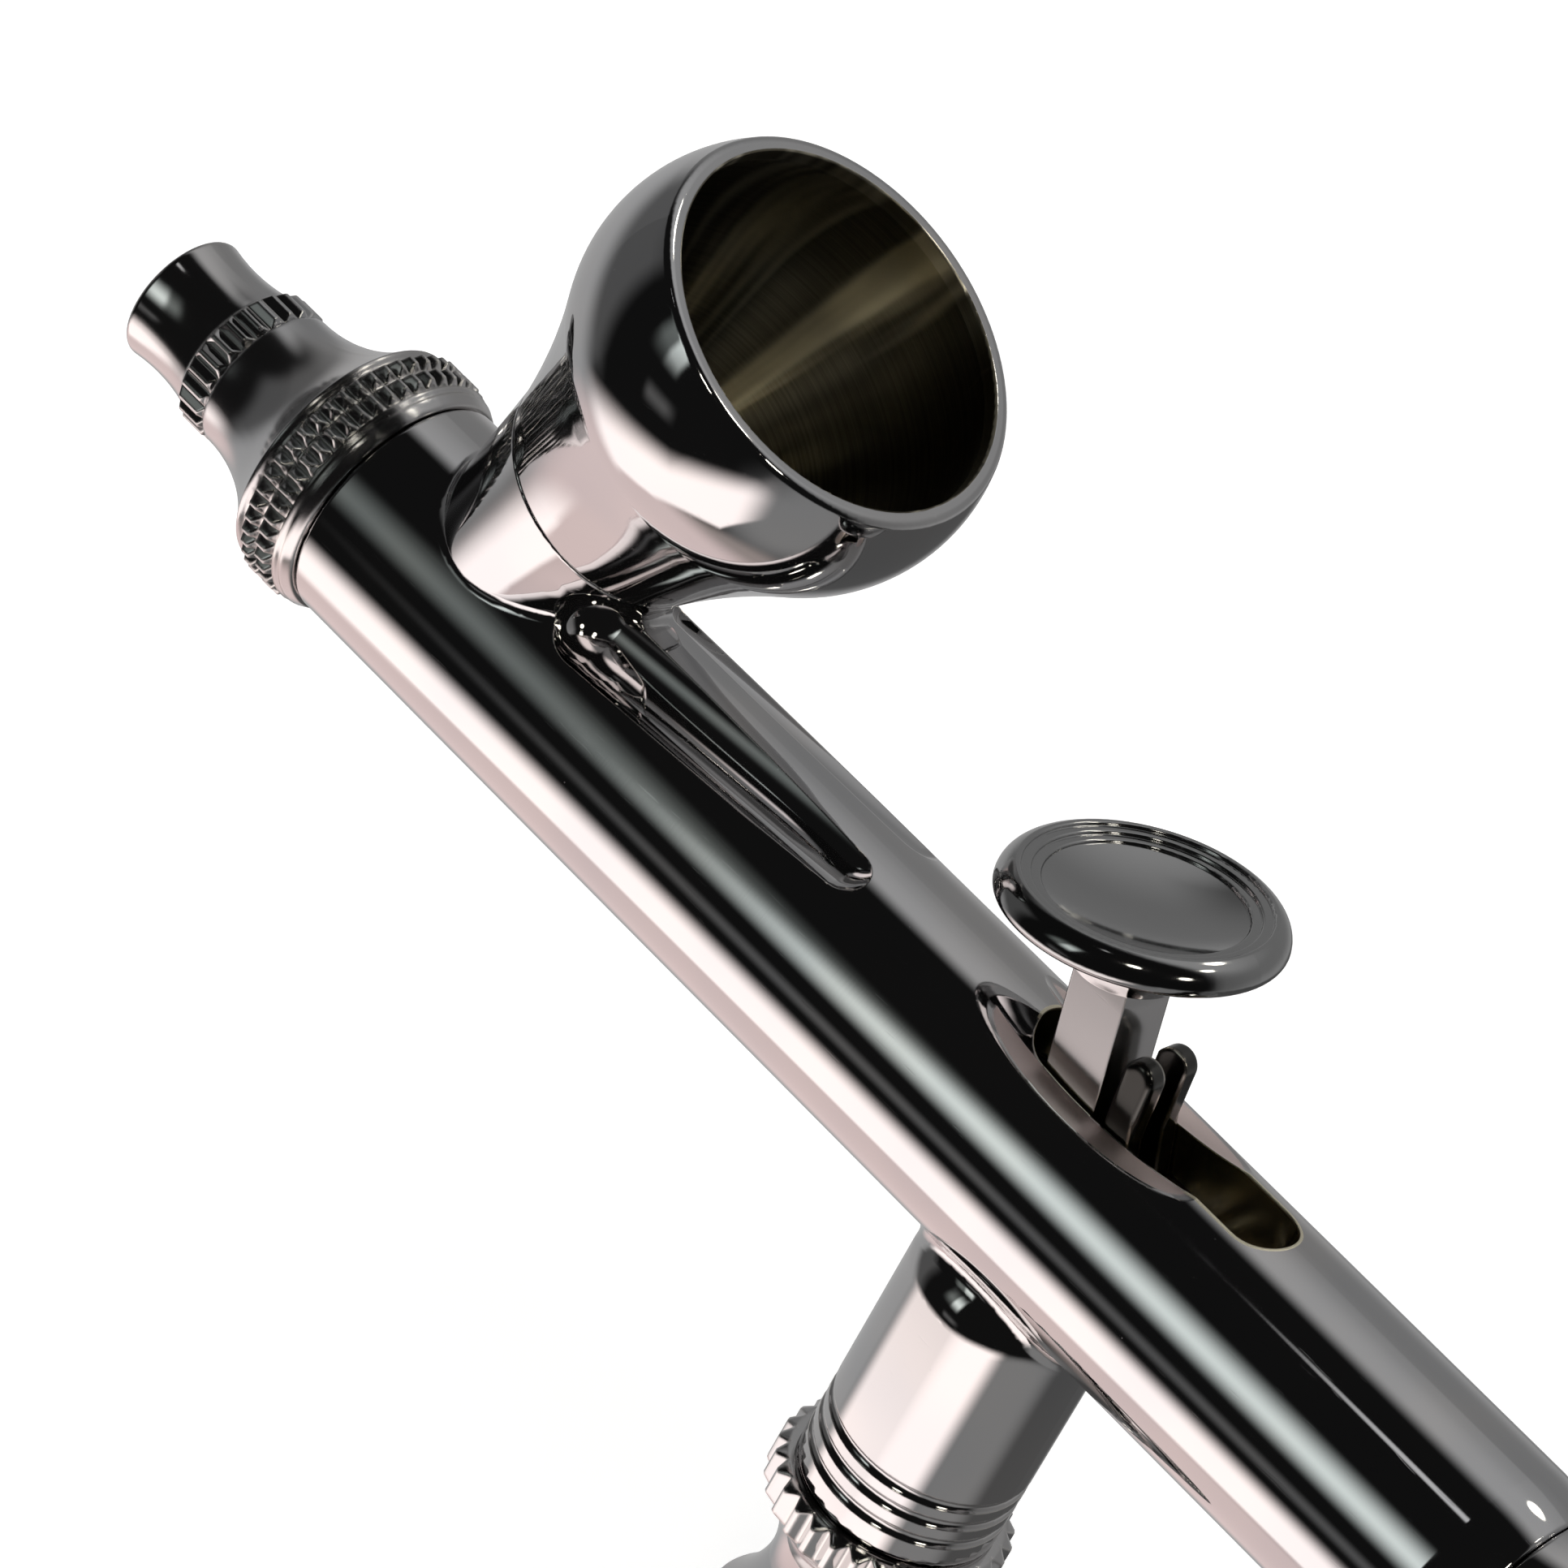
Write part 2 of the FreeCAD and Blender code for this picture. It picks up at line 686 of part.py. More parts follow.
def build_barrel():
    """The body's solid outside: barrel, valve boss and cup collar, joined with rounded corners."""
    barrel = turned("barrel", "X", [
        ("nose_face", AXIS),
        ("nose_face", "nose_thread_radius", None, "edge_round"),
        ("barrel_front", "nose_thread_radius"),
        ("barrel_front", "barrel_radius", None, "edge_round"),
        ("barrel_shoulder", "barrel_radius", ("barrel_end_arc", "right")),
        ("barrel_rear", "barrel_end_radius", None, "edge_round"),
        ("barrel_rear", "tail_relief_radius"),
        ("tail_relief_end", "tail_relief_radius"),
        ("tail_relief_end", "tail_thread_radius"),
        ("tail_thread_end", "tail_thread_radius", None, "edge_round"),
        ("tail_thread_end", AXIS),
    ])
    side = [("boss_end", AXIS), ("boss_end", "boss_radius", None, "edge_round")]
    for groove in ("boss_groove_third", "boss_groove_second", "boss_groove_first"):
        side.append((f"{groove}-boss_groove_half_width", "boss_radius", ("boss_groove_arc", "right")))
        side.append((f"{groove}+boss_groove_half_width", "boss_radius"))
    boss = turned("boss", "Z", side + [
        ("boss_shoulder", "boss_radius", ("boss_crown_arc", "left")),
        ("boss_crown", "boss_crown_radius"),
        ("well_top", "boss_crown_radius"),
        ("well_top", AXIS),
    ])
    collar = turned("collar", "Z", [
        ("collar_foot", AXIS),
        ("collar_foot", "collar_foot_radius"),
        ("collar_top", "collar_top_radius", None, "fine_round"),
        ("collar_top", AXIS),
    ])
    collar.Placement = CUP_PLACEMENT
    outside = fuse("body_outside", [barrel, boss, collar])

    def on_barrel(point):
        return abs(math.hypot(point.y, point.z) - size("barrel_radius")) < ON_SURFACE

    def at_boss(point):
        from_axis = math.hypot(point.x, point.y)
        return on_barrel(point) and from_axis < size("boss_radius") and point.z < 0

    def at_collar(point):
        local = CUP_PLACEMENT.inverse().multVec(point)
        from_axis = math.hypot(local.x, local.y)
        return on_barrel(point) and from_axis < size("collar_top_radius") and local.z > 0

    rounded = rounded_junction("boss_rounded", outside, "boss_junction_round", at_boss)
    return rounded_junction("collar_rounded", rounded, "collar_junction_round", at_collar)


def barrel_bores():
    """Everything bored out of the body from its ends, from below and from the cup."""
    stations = [
        ("nose_face-tool_overrun", "seal_recess_radius", "seal_recess_end"),
        ("seal_recess_end", "nozzle_thread_radius", "nozzle_thread_end"),
        ("nozzle_thread_end", "paint_bore_radius", "packing_bore_start"),
        ("packing_bore_start", "packing_bore_radius", "tunnel_start"),
        ("tunnel_start", "tunnel_radius", "lever_cavity_start"),
        ("lever_cavity_start", "lever_cavity_radius", "rear_bore_start"),
        ("rear_bore_start", "rear_bore_radius", "tail_thread_end+tool_overrun"),
    ]
    profile = [(stations[0][0], AXIS)]
    for start, radius, end in stations:
        profile += [(start, radius), (end, radius)]
    along_barrel = turned("barrel_bore", "X", profile + [(stations[-1][2], AXIS)])
    stations = [
        ("boss_end-tool_overrun", "casing_thread_radius+running_gap", "air_groove_bottom"),
        ("air_groove_bottom", "air_groove_radius", "air_groove_top"),
        ("air_groove_top", "casing_thread_radius+running_gap", "casing_thread_top"),
        ("casing_thread_top", "gland_radius", "gland_top"),
        ("gland_top", "piston_hole_radius", "well_floor"),
        ("well_floor", "well_radius", "well_top"),
    ]
    profile = [(stations[0][0], AXIS)]
    for start, radius, end in stations:
        profile += [(start, radius), (end, radius)]
    under_barrel = turned("valve_bore", "Z", profile + [(stations[-1][2], AXIS)])
    drain = turned("drain_bore", "Z", [
        (AXIS, AXIS),
        (AXIS, "drain_radius"),
        ("collar_socket_floor", "drain_radius"),
        ("collar_socket_floor", "collar_socket_radius"),
        ("collar_top+tool_overrun", "collar_socket_radius"),
        ("collar_top+tool_overrun", AXIS),
    ])
    drain.Placement = CUP_PLACEMENT
    return [along_barrel, under_barrel, drain]


def rod(name, radius, start, end):
    """A round rod between two points, its radius tied to a cell."""
    turn = Rotation(Vector(0, 0, 1), end - start)
    piece = bound("Part::Cylinder", name, Placement(start, turn), Radius=radius)
    piece.Height = (end - start).Length
    return piece


def air_passage():
    """Drilled from the groove round the valve casing up the boss, then forward to the nose."""
    riser = size("air_riser_offset")
    nose = Vector(size("nose_face-tool_overrun"), 0, size("air_passage_nose_height"))
    corner = Vector(riser, 0, size("air_passage_rear_height"))
    groove = Vector(riser, 0, size("air_groove_bottom"))
    return [
        rod("air_passage", "air_passage_radius", nose, corner),
        rod("air_riser", "air_riser_radius", groove, corner),
    ]


def trigger_slot():
    """A slot with round ends through the top of the barrel."""
    base = {"Height": "slot_height", "Radius": "slot_half_width"}
    ends = []
    for name, place in (("slot_front_end", "slot_front+slot_half_width"),
                        ("slot_rear_end", "slot_rear-slot_half_width")):
        end = bound("Part::Cylinder", name, Placement(Vector(size(place), 0, 0), Rotation()), **base)
        ends.append(end)
    middle = bound(
        "Part::Box", "slot_middle",
        Placement(Vector(size("slot_front+slot_half_width"), -size("slot_half_width"), 0), Rotation()),
        Length="slot_rear-slot_front-slot_half_width-slot_half_width",
        Width="slot_half_width+slot_half_width", Height="slot_height",
    )
    return ends + [middle]


def finger_scallops():
    """A ground hollow on each side of the trigger, the shape a round-edged wheel leaves."""
    reach = size("barrel_radius-scallop_depth+scallop_edge_radius+scallop_wheel_radius")
    lean = math.radians(size("scallop_angle_degrees"))
    wheels = []
    for side in (-1, 1):
        outward = Vector(0, side * math.sin(lean), math.cos(lean))
        spindle = Vector(0, -math.cos(lean), side * math.sin(lean))
        centre = Vector(size("scallop_middle"), 0, 0) + outward * reach
        wheels.append(bound(
            "Part::Torus", f"scallop_wheel_{'near' if side < 0 else 'far'}",
            Placement(centre, Rotation(Vector(0, 0, 1), spindle)),
            Radius1="scallop_wheel_radius", Radius2="scallop_edge_radius",
        ))
    return wheels


def flutes():
    """A long flute on each side behind the cup, deepest at the cup and fading out behind it."""

    def middle(side, end):
        lean = math.radians(size(f"flute_{end}_angle_degrees"))
        reach = size(f"barrel_radius+flute_radius-flute_{end}_depth")
        return Vector(size(f"flute_{end}"), side * math.sin(lean) * reach, math.cos(lean) * reach)

    cutters = []
    for side in (-1, 1):
        front, rear = middle(side, "front"), middle(side, "rear")
        name = f"flute_{'near' if side < 0 else 'far'}"
        cutters.append(rod(name, "flute_radius", front, rear))
        for end, place in (("front", front), ("rear", rear)):
            cutters.append(bound("Part::Sphere", f"{name}_{end}", Placement(place, Rotation()),
                                 Radius="flute_radius"))
    return cutters


def lever_seat():
    """The half-round seat across the floor of the cavity in which the lever's foot rocks."""
    place = Vector(size("lever_pivot_along"), -size("lever_half_width+running_gap+running_gap"),
                   size("lever_pivot_height"))
    return bound(
        "Part::Cylinder", "lever_seat", Placement(place, Rotation(Vector(0, 0, 1), Vector(0, 1, 0))),
        Radius="lever_foot_radius+running_gap",
        Height="lever_half_width+lever_half_width+running_gap+running_gap+running_gap+running_gap",
    )


def build_body_shell():
    shell = build_barrel()
    tools = barrel_bores() + air_passage() + trigger_slot() + finger_scallops() + flutes()
    for tool in tools:
        shell = cut(f"less_{tool.Name}", shell, tool)
    return cut("body_shell", shell, lever_seat())


def build_paint_cup():
    cup = turned("paint_cup", "Z", [
        ("cup_stub_bottom", "drain_radius"),
        ("cup_stub_bottom", "cup_stub_radius"),
        ("cup_foot", "cup_stub_radius"),
        ("cup_foot", "cup_foot_radius", ("cup_neck_arc", "right"), "fine_round"),
        ("cup_bowl_start", "cup_bowl_start_radius", ("cup_bowl_arc", "left")),
        ("cup_rim", "cup_rim_radius", None, "cup_rim_round"),
        ("cup_rim", "cup_mouth_radius", None, "fine_round"),
        ("cup_mouth_depth", "cup_mouth_radius", ("cup_inner_arc", "right")),
        ("cup_inner_low", "cup_inner_low_radius"),
        ("cup_funnel_top", "cup_funnel_top_radius"),
        ("cup_funnel_bottom", "drain_radius"),
    ])
    cup.Placement = CUP_PLACEMENT
    return cup


def build_packing_screw():
    ring = washer("packing_screw_ring", "X", "packing_screw_front", "packing_screw_rear",
                  "packing_screw_hole_radius", "packing_radius")
    corner = Vector(size("packing_screw_rear-screw_slot_depth"), -size("screw_slot_width") / 2,
                    -size("packing_bore_radius"))
    slot = bound("Part::Box", "packing_screw_slot", Placement(corner, Rotation()),
                 Length="screw_slot_depth+tool_overrun", Width="screw_slot_width",
                 Height="packing_bore_radius+packing_bore_radius")
    return cut("packing_screw", ring, slot)


def block(name, centre_x, half_x, half_y, bottom, top):
    """A box centred on y = 0, between two heights, all tied to cells."""
    corner = Vector(size(centre_x) - size(half_x), -size(half_y), size(bottom))
    return bound("Part::Box", name, Placement(corner, Rotation()), Length=f"{half_x}+{half_x}",
                 Width=f"{half_y}+{half_y}", Height=f"{top}-{bottom}")


def build_trigger():
    """Drawn upright with the ball's centre at the origin, then leaned into place."""
    pad = turned("trigger_pad", "Z", [
        ("pad_underside", AXIS),
        ("pad_underside", "pad_neck_radius", ("pad_skirt_arc", "right")),
        ("pad_skirt", "pad_skirt_radius", ("pad_lip_arc", "left")),
        ("pad_edge", "pad_radius", ("pad_edge_arc", "left")),
        ("pad_rim", "pad_rim_radius"),
        ("pad_rim", "pad_step_one_radius", None, "fine_round"),
        ("pad_step_one", "pad_step_one_radius"),
        ("pad_step_one", "pad_step_two_radius", None, "fine_round"),
        ("pad_step_two", "pad_step_two_radius"),
        ("pad_step_two", "pad_step_three_radius", None, "fine_round"),
        ("pad_step_three", "pad_step_three_radius", ("pad_dish_arc", "right")),
        ("pad_dish_floor", AXIS),
    ])
    offset = "trigger_stem_offset"
    pad.Placement = Placement(Vector(size(offset), 0, 0), Rotation())
    stem = block("trigger_stem", offset, "trigger_stem_half_depth", "trigger_stem_half_width",
                 "trigger_stem_bottom", "trigger_stem_top")
    shank = block("trigger_shank", AXIS, "trigger_shank_half_depth", "trigger_shank_half_width",
                  "trigger_shank_bottom", "trigger_stem_bottom")
    neck = bound("Part::Cylinder", "trigger_neck", Radius="trigger_neck_radius",
                 Height="trigger_shank_bottom")
    ball = bound("Part::Sphere", "trigger_ball", Radius="trigger_ball_radius")
    whole = fuse("trigger_whole", [pad, stem, shank, neck, ball])
    slot = block("trigger_needle_slot", offset, "trigger_stem_top", "trigger_slot_half_width",
                 "trigger_slot_bottom", "trigger_slot_top")
    trigger = cut("trigger", whole, slot)
    trigger.Placement = Placement(
        Vector(0, 0, size("trigger_pivot_height")),
        Rotation(Vector(0, 1, 0), size("trigger_lean_degrees")),
    )
    return trigger


def build_aux_lever():
    side = new_body("lever_side")
    sketch = new_sketch(side, "lever_outline", "XZ_Plane")
    outline(sketch, [
        ("lever_foot_front", "lever_foot_shoulder"),
        ("lever_belly_low_along", "lever_belly_low"),
        ("lever_belly_along", "lever_belly"),
        ("lever_front_along", "lever_front"),
        ("lever_ear_front_along", "lever_ear", ("lever_ear_arc", "right")),
        ("lever_ear_rear_along", "lever_ear"),
        ("lever_back_along", "lever_back"),
        ("lever_push_along", "lever_push_top"),
        ("lever_push_low_along", "lever_push_low"),
        ("lever_heel_along", "lever_heel"),
        ("lever_foot_rear", "lever_foot_shoulder"),
    ])
    plate = side.newObject("PartDesign::Pad", "lever_plate")
    plate.Profile = sketch
    plate.Midplane = True
    plate.setExpression("Length", "2 * Dims.lever_half_width")
    place = Vector(size("lever_pivot_along"), -size("lever_half_width"), size("lever_pivot_height"))
    foot = bound(
        "Part::Cylinder", "lever_foot", Placement(place, Rotation(Vector(0, 0, 1), Vector(0, 1, 0))),
        Radius="lever_foot_radius", Height="lever_half_width+lever_half_width",
    )
    whole = fuse("lever_whole", [side, foot])
    notch = block("lever_notch", AXIS, "lever_notch_top", "lever_notch_half_width",
                  "lever_notch_floor", "lever_notch_top")
    bare = cut("lever_bare", whole, notch)

    def on_ear(point):
        return abs(abs(point.y) - size("lever_half_width")) < ON_SURFACE and point.z > EAR_FOOT

    return rounded_junction("aux_lever", bare, "lever_ear_round", on_ear)


def build_needle_guide():
    tube = turned("guide_tube", "X", [
        ("guide_nose", "guide_bore_radius"),
        ("guide_nose", "guide_nose_radius", None, "fine_round"),
        ("guide_flange_front", "guide_nose_radius"),
        ("guide_flange_front", "guide_flange_radius"),
        ("guide_flange_rear", "guide_flange_radius"),
        ("guide_flange_rear", "guide_stem_radius"),
        ("guide_thread_start", "guide_stem_radius"),
        ("guide_thread_start", "guide_thread_radius"),
        ("guide_end", "guide_thread_radius"),
        ("guide_end", "guide_bore_radius"),
    ])
    slits = []
    thin, wide = "collet_slit_width", "guide_thread_radius+guide_thread_radius+running_gap"
    for name, width, height in (("slit_upright", thin, wide), ("slit_level", wide, thin)):
        corner = Vector(size("collet_slit_start"), -size(width) / 2, -size(height) / 2)
        slits.append(bound("Part::Box", name, Placement(corner, Rotation()), Width=width, Height=height,
                           Length="guide_end-collet_slit_start+tool_overrun"))
    return cut("needle_guide", tube, fuse("collet_slits", slits))


def coil(name, placement, wire, radius, length, turns):
    """A coil spring swept along a helix, standing at its placement."""
    helix = doc.addObject("Part::Helix", name + "_helix")
    helix.Placement = placement
    helix.setExpression("Radius", cell(radius))
    helix.setExpression("Height", f"({cell(length)})")
    helix.setExpression("Pitch", f"({cell(length)}) / {cell(turns)}")
    ring = bound("Part::Circle", name + "_wire", Radius=wire)
    start = Placement(Vector(size(radius), 0, 0), Rotation(Vector(0, 0, 1), Vector(0, 1, 0)))
    ring.Placement = placement.multiply(start)
    doc.recompute()
    spring = doc.addObject("Part::Sweep", name)
    spring.Sections = [ring]
    spring.Spine = (helix, [f"Edge{number + 1}" for number in range(len(helix.Shape.Edges))])
    spring.Solid = True
    spring.Frenet = True
    return spring


def build_needle_spring():
    start = size("guide_flange_rear+seat_gap+needle_spring_wire")
    length = ("case_floor-guide_flange_rear-seat_gap-seat_gap"
              "-needle_spring_wire-needle_spring_wire")
    return coil("needle_spring", Placement(Vector(start, 0, 0), Rotation(Vector(0, 1, 0), 90)),
                "needle_spring_wire", "needle_spring_radius", length, "needle_spring_turns")


def build_valve_spring():
    start = size("guide_screw_top+seat_gap+valve_spring_wire")
    length = ("plunger_head_bottom-guide_screw_top-seat_gap-seat_gap"
              "-valve_spring_wire-valve_spring_wire")
    return coil("valve_spring", Placement(Vector(0, 0, start), Rotation()),
                "valve_spring_wire", "valve_spring_radius", length, "valve_spring_turns")


def build_spring_case():
    return turned("spring_case", "X", [
        ("case_front", "case_bore_radius"),
        ("case_front", "case_thread_radius"),
        ("case_thread_end", "case_thread_radius"),
        ("case_thread_end", "case_tube_radius"),
        ("case_end", "case_tube_radius", None, "edge_round"),
        ("case_end", "case_hole_radius"),
        ("case_floor", "case_hole_radius"),
        ("case_floor", "case_bore_radius"),
    ])


def build_chuck_nut():
    nut = turned("chuck_nut", "X", [
        ("chuck_front", "chuck_bore_radius"),
        ("chuck_front", "chuck_collar_radius", None, "fine_round"),
        ("chuck_knurl_front", "chuck_knurl_root_radius"),
        ("chuck_knurl_front_top", "chuck_radius"),
        ("chuck_knurl_rear_top", "chuck_radius"),
        ("chuck_knurl_rear", "chuck_knurl_root_radius"),
        ("chuck_end", "chuck_end_radius", None, "fine_round"),
        ("chuck_end", "chuck_hole_radius"),
        ("chuck_floor", "chuck_hole_radius"),
        ("chuck_floor", "chuck_bore_radius"),
    ])
    knurl(nut, "X", "chuck_knurl_front", "chuck_knurl_rear", "chuck_radius",
          "chuck_knurl_root_radius", "chuck_knurl_teeth")
    return nut


def build_handle():
    return turned("handle", "X", [
        ("handle_front", "handle_thread_radius"),
        ("handle_front", "barrel_end_radius", ("barrel_end_arc", "right"), "edge_round"),
        ("handle_shoulder", "barrel_radius"),
        ("handle_groove_front", "barrel_radius"),
        ("handle_groove_middle", "handle_groove_radius"),
        ("handle_groove_rear", "barrel_radius", ("handle_taper_arc", "right")),
        ("handle_waist", "handle_waist_radius", ("handle_waist_arc", "left")),
        ("handle_ball_start", "handle_ball_start_radius", ("handle_ball_arc", "right")),
        ("handle_tip", "handle_tip_radius"),
        ("handle_tip", AXIS),
        ("handle_bore_end", AXIS),
        ("handle_bore_end", "handle_bore_radius"),
        ("handle_bore_start", "handle_bore_radius"),
        ("handle_chamber_end", "handle_chamber_radius"),
        ("handle_cavity_end", "handle_chamber_radius"),
        ("handle_cavity_end", "handle_cavity_radius"),
        ("handle_thread_end", "handle_cavity_radius"),
        ("handle_thread_end", "handle_thread_radius"),
    ])


def build_valve_casing():
    casing = turned("casing_turned", "Z", [
        ("hose_thread_end", "casing_bore_radius"),
        ("hose_thread_end", "hose_thread_chamfer_radius"),
        ("hose_thread_chamfer", "hose_thread_radius"),
        ("casing_seat", "hose_thread_radius"),
        ("casing_seat", "casing_shoulder_radius", None, "fine_round"),
        ("casing_shoulder", "casing_shoulder_radius", ("casing_waist_arc", "right"), "fine_round"),
        ("casing_waist", "casing_waist_radius", ("casing_waist_arc", "right")),
        ("casing_knurl_bottom", "casing_knurl_root_radius"),
        ("casing_knurl_bottom_flat", "casing_knurl_radius"),
        ("casing_knurl_top_flat", "casing_knurl_radius"),
        ("casing_knurl_top", "casing_knurl_root_radius"),
        ("casing_knurl_top", "casing_thread_radius"),
        ("casing_seal_bottom", "casing_thread_radius"),
        ("casing_seal_bottom", "casing_seal_groove_radius"),
        ("casing_seal_top", "casing_seal_groove_radius"),
        ("casing_seal_top", "casing_thread_radius"),
        ("casing_thread_top", "casing_thread_radius"),
        ("casing_thread_top", "piston_hole_radius"),
        ("casing_roof", "piston_hole_radius"),
        ("casing_roof", "casing_chamber_radius"),
        ("valve_seat_top", "casing_chamber_radius"),
        ("valve_seat_top", "valve_seat_radius"),
        ("valve_seat_bottom", "valve_seat_radius"),
        ("valve_seat_bottom", "casing_bore_radius"),
    ])
    knurl(casing, "Z", "casing_knurl_bottom", "casing_knurl_top", "casing_knurl_radius",
          "casing_knurl_root_radius", "casing_knurl_teeth")
    height = size("casing_port_height")
    reach = size("casing_thread_radius+tool_overrun")
    port = rod("casing_port", "casing_port_radius", Vector(-reach, 0, height),
               Vector(reach, 0, height))
    return cut("valve_casing", casing, port)


def build_valve_piston():
    return turned("valve_piston", "Z", [
        ("piston_end", AXIS),
        ("piston_end", "piston_tail_radius"),
        ("piston_shoulder", "piston_tail_radius"),
        ("piston_shoulder", "piston_radius"),
        ("trigger_pivot_height", "piston_radius"),
        ("trigger_pivot_height", "piston_socket_radius", ("piston_socket_radius", "right")),
        ("piston_socket_floor", AXIS),
    ])


def build_valve_plunger():
    return turned("valve_plunger", "Z", [
        ("plunger_end", AXIS),
        ("plunger_end", "plunger_stem_radius"),
        ("plunger_head_bottom", "plunger_stem_radius"),
        ("plunger_head_bottom", "plunger_head_radius"),
        ("plunger_seal_bottom", "plunger_head_radius"),
        ("plunger_seal_bottom", "plunger_seal_inner_radius"),
        ("plunger_head_top", "plunger_seal_inner_radius"),
        ("plunger_head_top", "plunger_stem_radius"),
        ("piston_end-seat_gap", "plunger_stem_radius"),
        ("piston_end-seat_gap", AXIS),
    ])


def build_guide_screw():
    ring = washer("guide_screw_ring", "Z", "guide_screw_bottom", "guide_screw_top",
                  "guide_screw_hole_radius", "guide_screw_radius")
    corner = Vector(-size("casing_bore_radius"), -size("screw_slot_width") / 2,
                    size("guide_screw_bottom-tool_overrun"))
    slot = bound("Part::Box", "guide_screw_slot", Placement(corner, Rotation()),
                 Length="casing_bore_radius+casing_bore_radius", Width="screw_slot_width",
                 Height="screw_slot_depth+tool_overrun")
    return cut("valve_guide_screw", ring, slot)


def o_ring(name, height, radius, section):
    return bound("Part::Torus", name, Placement(Vector(0, 0, size(height)), Rotation()),
                 Radius1=radius, Radius2=section)


CUP_PLACEMENT = Placement(
    Vector(size("cup_axis_foot"), 0, 0), Rotation(Vector(0, 1, 0), size("cup_lean_degrees"))
)
ON_SURFACE = 1e-3
EAR_FOOT = size("lever_front") - ON_SURFACE

pieces = {
    "needle_cap": build_needle_cap(),
    "nozzle_cap": build_nozzle_cap(),
    "nozzle": build_nozzle(),
    "nozzle_seal": washer("nozzle_seal", "X", "nose_face", "seal_recess_end-seat_gap",
                          "nozzle_spigot_radius+running_gap", "nozzle_seal_radius"),
    "body_shell": build_body_shell(),
    "paint_cup": build_paint_cup(),
    "needle": build_needle(),
    "needle_packing": washer("needle_packing", "X", "packing_bore_start+seat_gap", "packing_rear",
                             "packing_hole_radius", "packing_radius"),
    "packing_screw": build_packing_screw(),
    "trigger": build_trigger(),
    "aux_lever": build_aux_lever(),
    "needle_guide": build_needle_guide(),
    "needle_spring": build_needle_spring(),
    "spring_case": build_spring_case(),
    "chuck_nut": build_chuck_nut(),
    "handle": build_handle(),
    "valve_casing": build_valve_casing(),
    "casing_o_ring": o_ring("casing_o_ring", "casing_seal_top-casing_seal_section-running_gap"
                            "-running_gap-running_gap", "casing_seal_radius", "casing_seal_section"),
    "valve_piston": build_valve_piston(),
    "piston_packing": o_ring("piston_packing", "piston_packing_height", "piston_packing_radius",
                             "piston_packing_section"),
    "valve_plunger": build_valve_plunger(),
    "plunger_seal": washer("plunger_seal", "Z", "plunger_seal_bottom", "plunger_head_top",
                           "plunger_seal_inner_radius", "plunger_seal_radius"),
    "valve_spring": build_valve_spring(),
    "valve_guide_screw": build_guide_screw(),
}

for label, piece in pieces.items():
    piece.Label = label
doc.recompute()
for item in doc.Objects:
    if "Invalid" in item.State or "Error" in item.State:
        raise RuntimeError(f"{item.Name} did not rebuild: {item.State}")
for label, piece in pieces.items():
    if piece.Shape.isNull() or not piece.Shape.isValid():
        raise RuntimeError(f"{label} has no valid shape")

os.makedirs("parts", exist_ok=True)
for label, piece in pieces.items():
    piece.Shape.exportStep(f"parts/{label}.step")
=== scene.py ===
"""Looks of a dual-action, gravity-feed airbrush around its CAD frame.

Metres, in the frame of the CAD part: +X along the barrel towards the handle, +Z up. The CAD nodes carry
every shape but three, which are built here: the cut hose thread and the two coil springs.
"""
import math

import bpy
from mathutils import Matrix, Vector


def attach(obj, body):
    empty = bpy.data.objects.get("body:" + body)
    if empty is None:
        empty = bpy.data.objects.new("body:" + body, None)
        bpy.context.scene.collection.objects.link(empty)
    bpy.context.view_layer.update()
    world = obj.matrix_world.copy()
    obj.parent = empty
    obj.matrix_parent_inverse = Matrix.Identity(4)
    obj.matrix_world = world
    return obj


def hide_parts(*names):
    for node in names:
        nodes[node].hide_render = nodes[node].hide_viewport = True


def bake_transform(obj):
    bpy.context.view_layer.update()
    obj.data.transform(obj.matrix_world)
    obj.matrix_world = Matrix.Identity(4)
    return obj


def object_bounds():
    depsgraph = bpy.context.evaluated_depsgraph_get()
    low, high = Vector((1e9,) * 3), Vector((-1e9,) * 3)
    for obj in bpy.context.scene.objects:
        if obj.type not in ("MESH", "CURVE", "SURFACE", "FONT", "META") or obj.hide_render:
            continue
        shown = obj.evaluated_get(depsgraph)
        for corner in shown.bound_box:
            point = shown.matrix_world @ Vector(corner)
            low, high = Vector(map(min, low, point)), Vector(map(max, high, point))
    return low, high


MM = 0.001

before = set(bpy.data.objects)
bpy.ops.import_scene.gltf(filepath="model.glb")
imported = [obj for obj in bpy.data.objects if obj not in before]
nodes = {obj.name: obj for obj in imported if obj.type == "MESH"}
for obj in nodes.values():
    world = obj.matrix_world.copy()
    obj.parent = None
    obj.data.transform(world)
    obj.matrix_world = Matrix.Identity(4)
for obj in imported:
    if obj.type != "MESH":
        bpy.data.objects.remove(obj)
cad_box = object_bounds()


# ---------------------------------------------------------------- shader graphs

# the colour sockets of a Mix node, whose names repeat
MIX_FIRST, MIX_SECOND, MIX_RESULT = 6, 7, 2


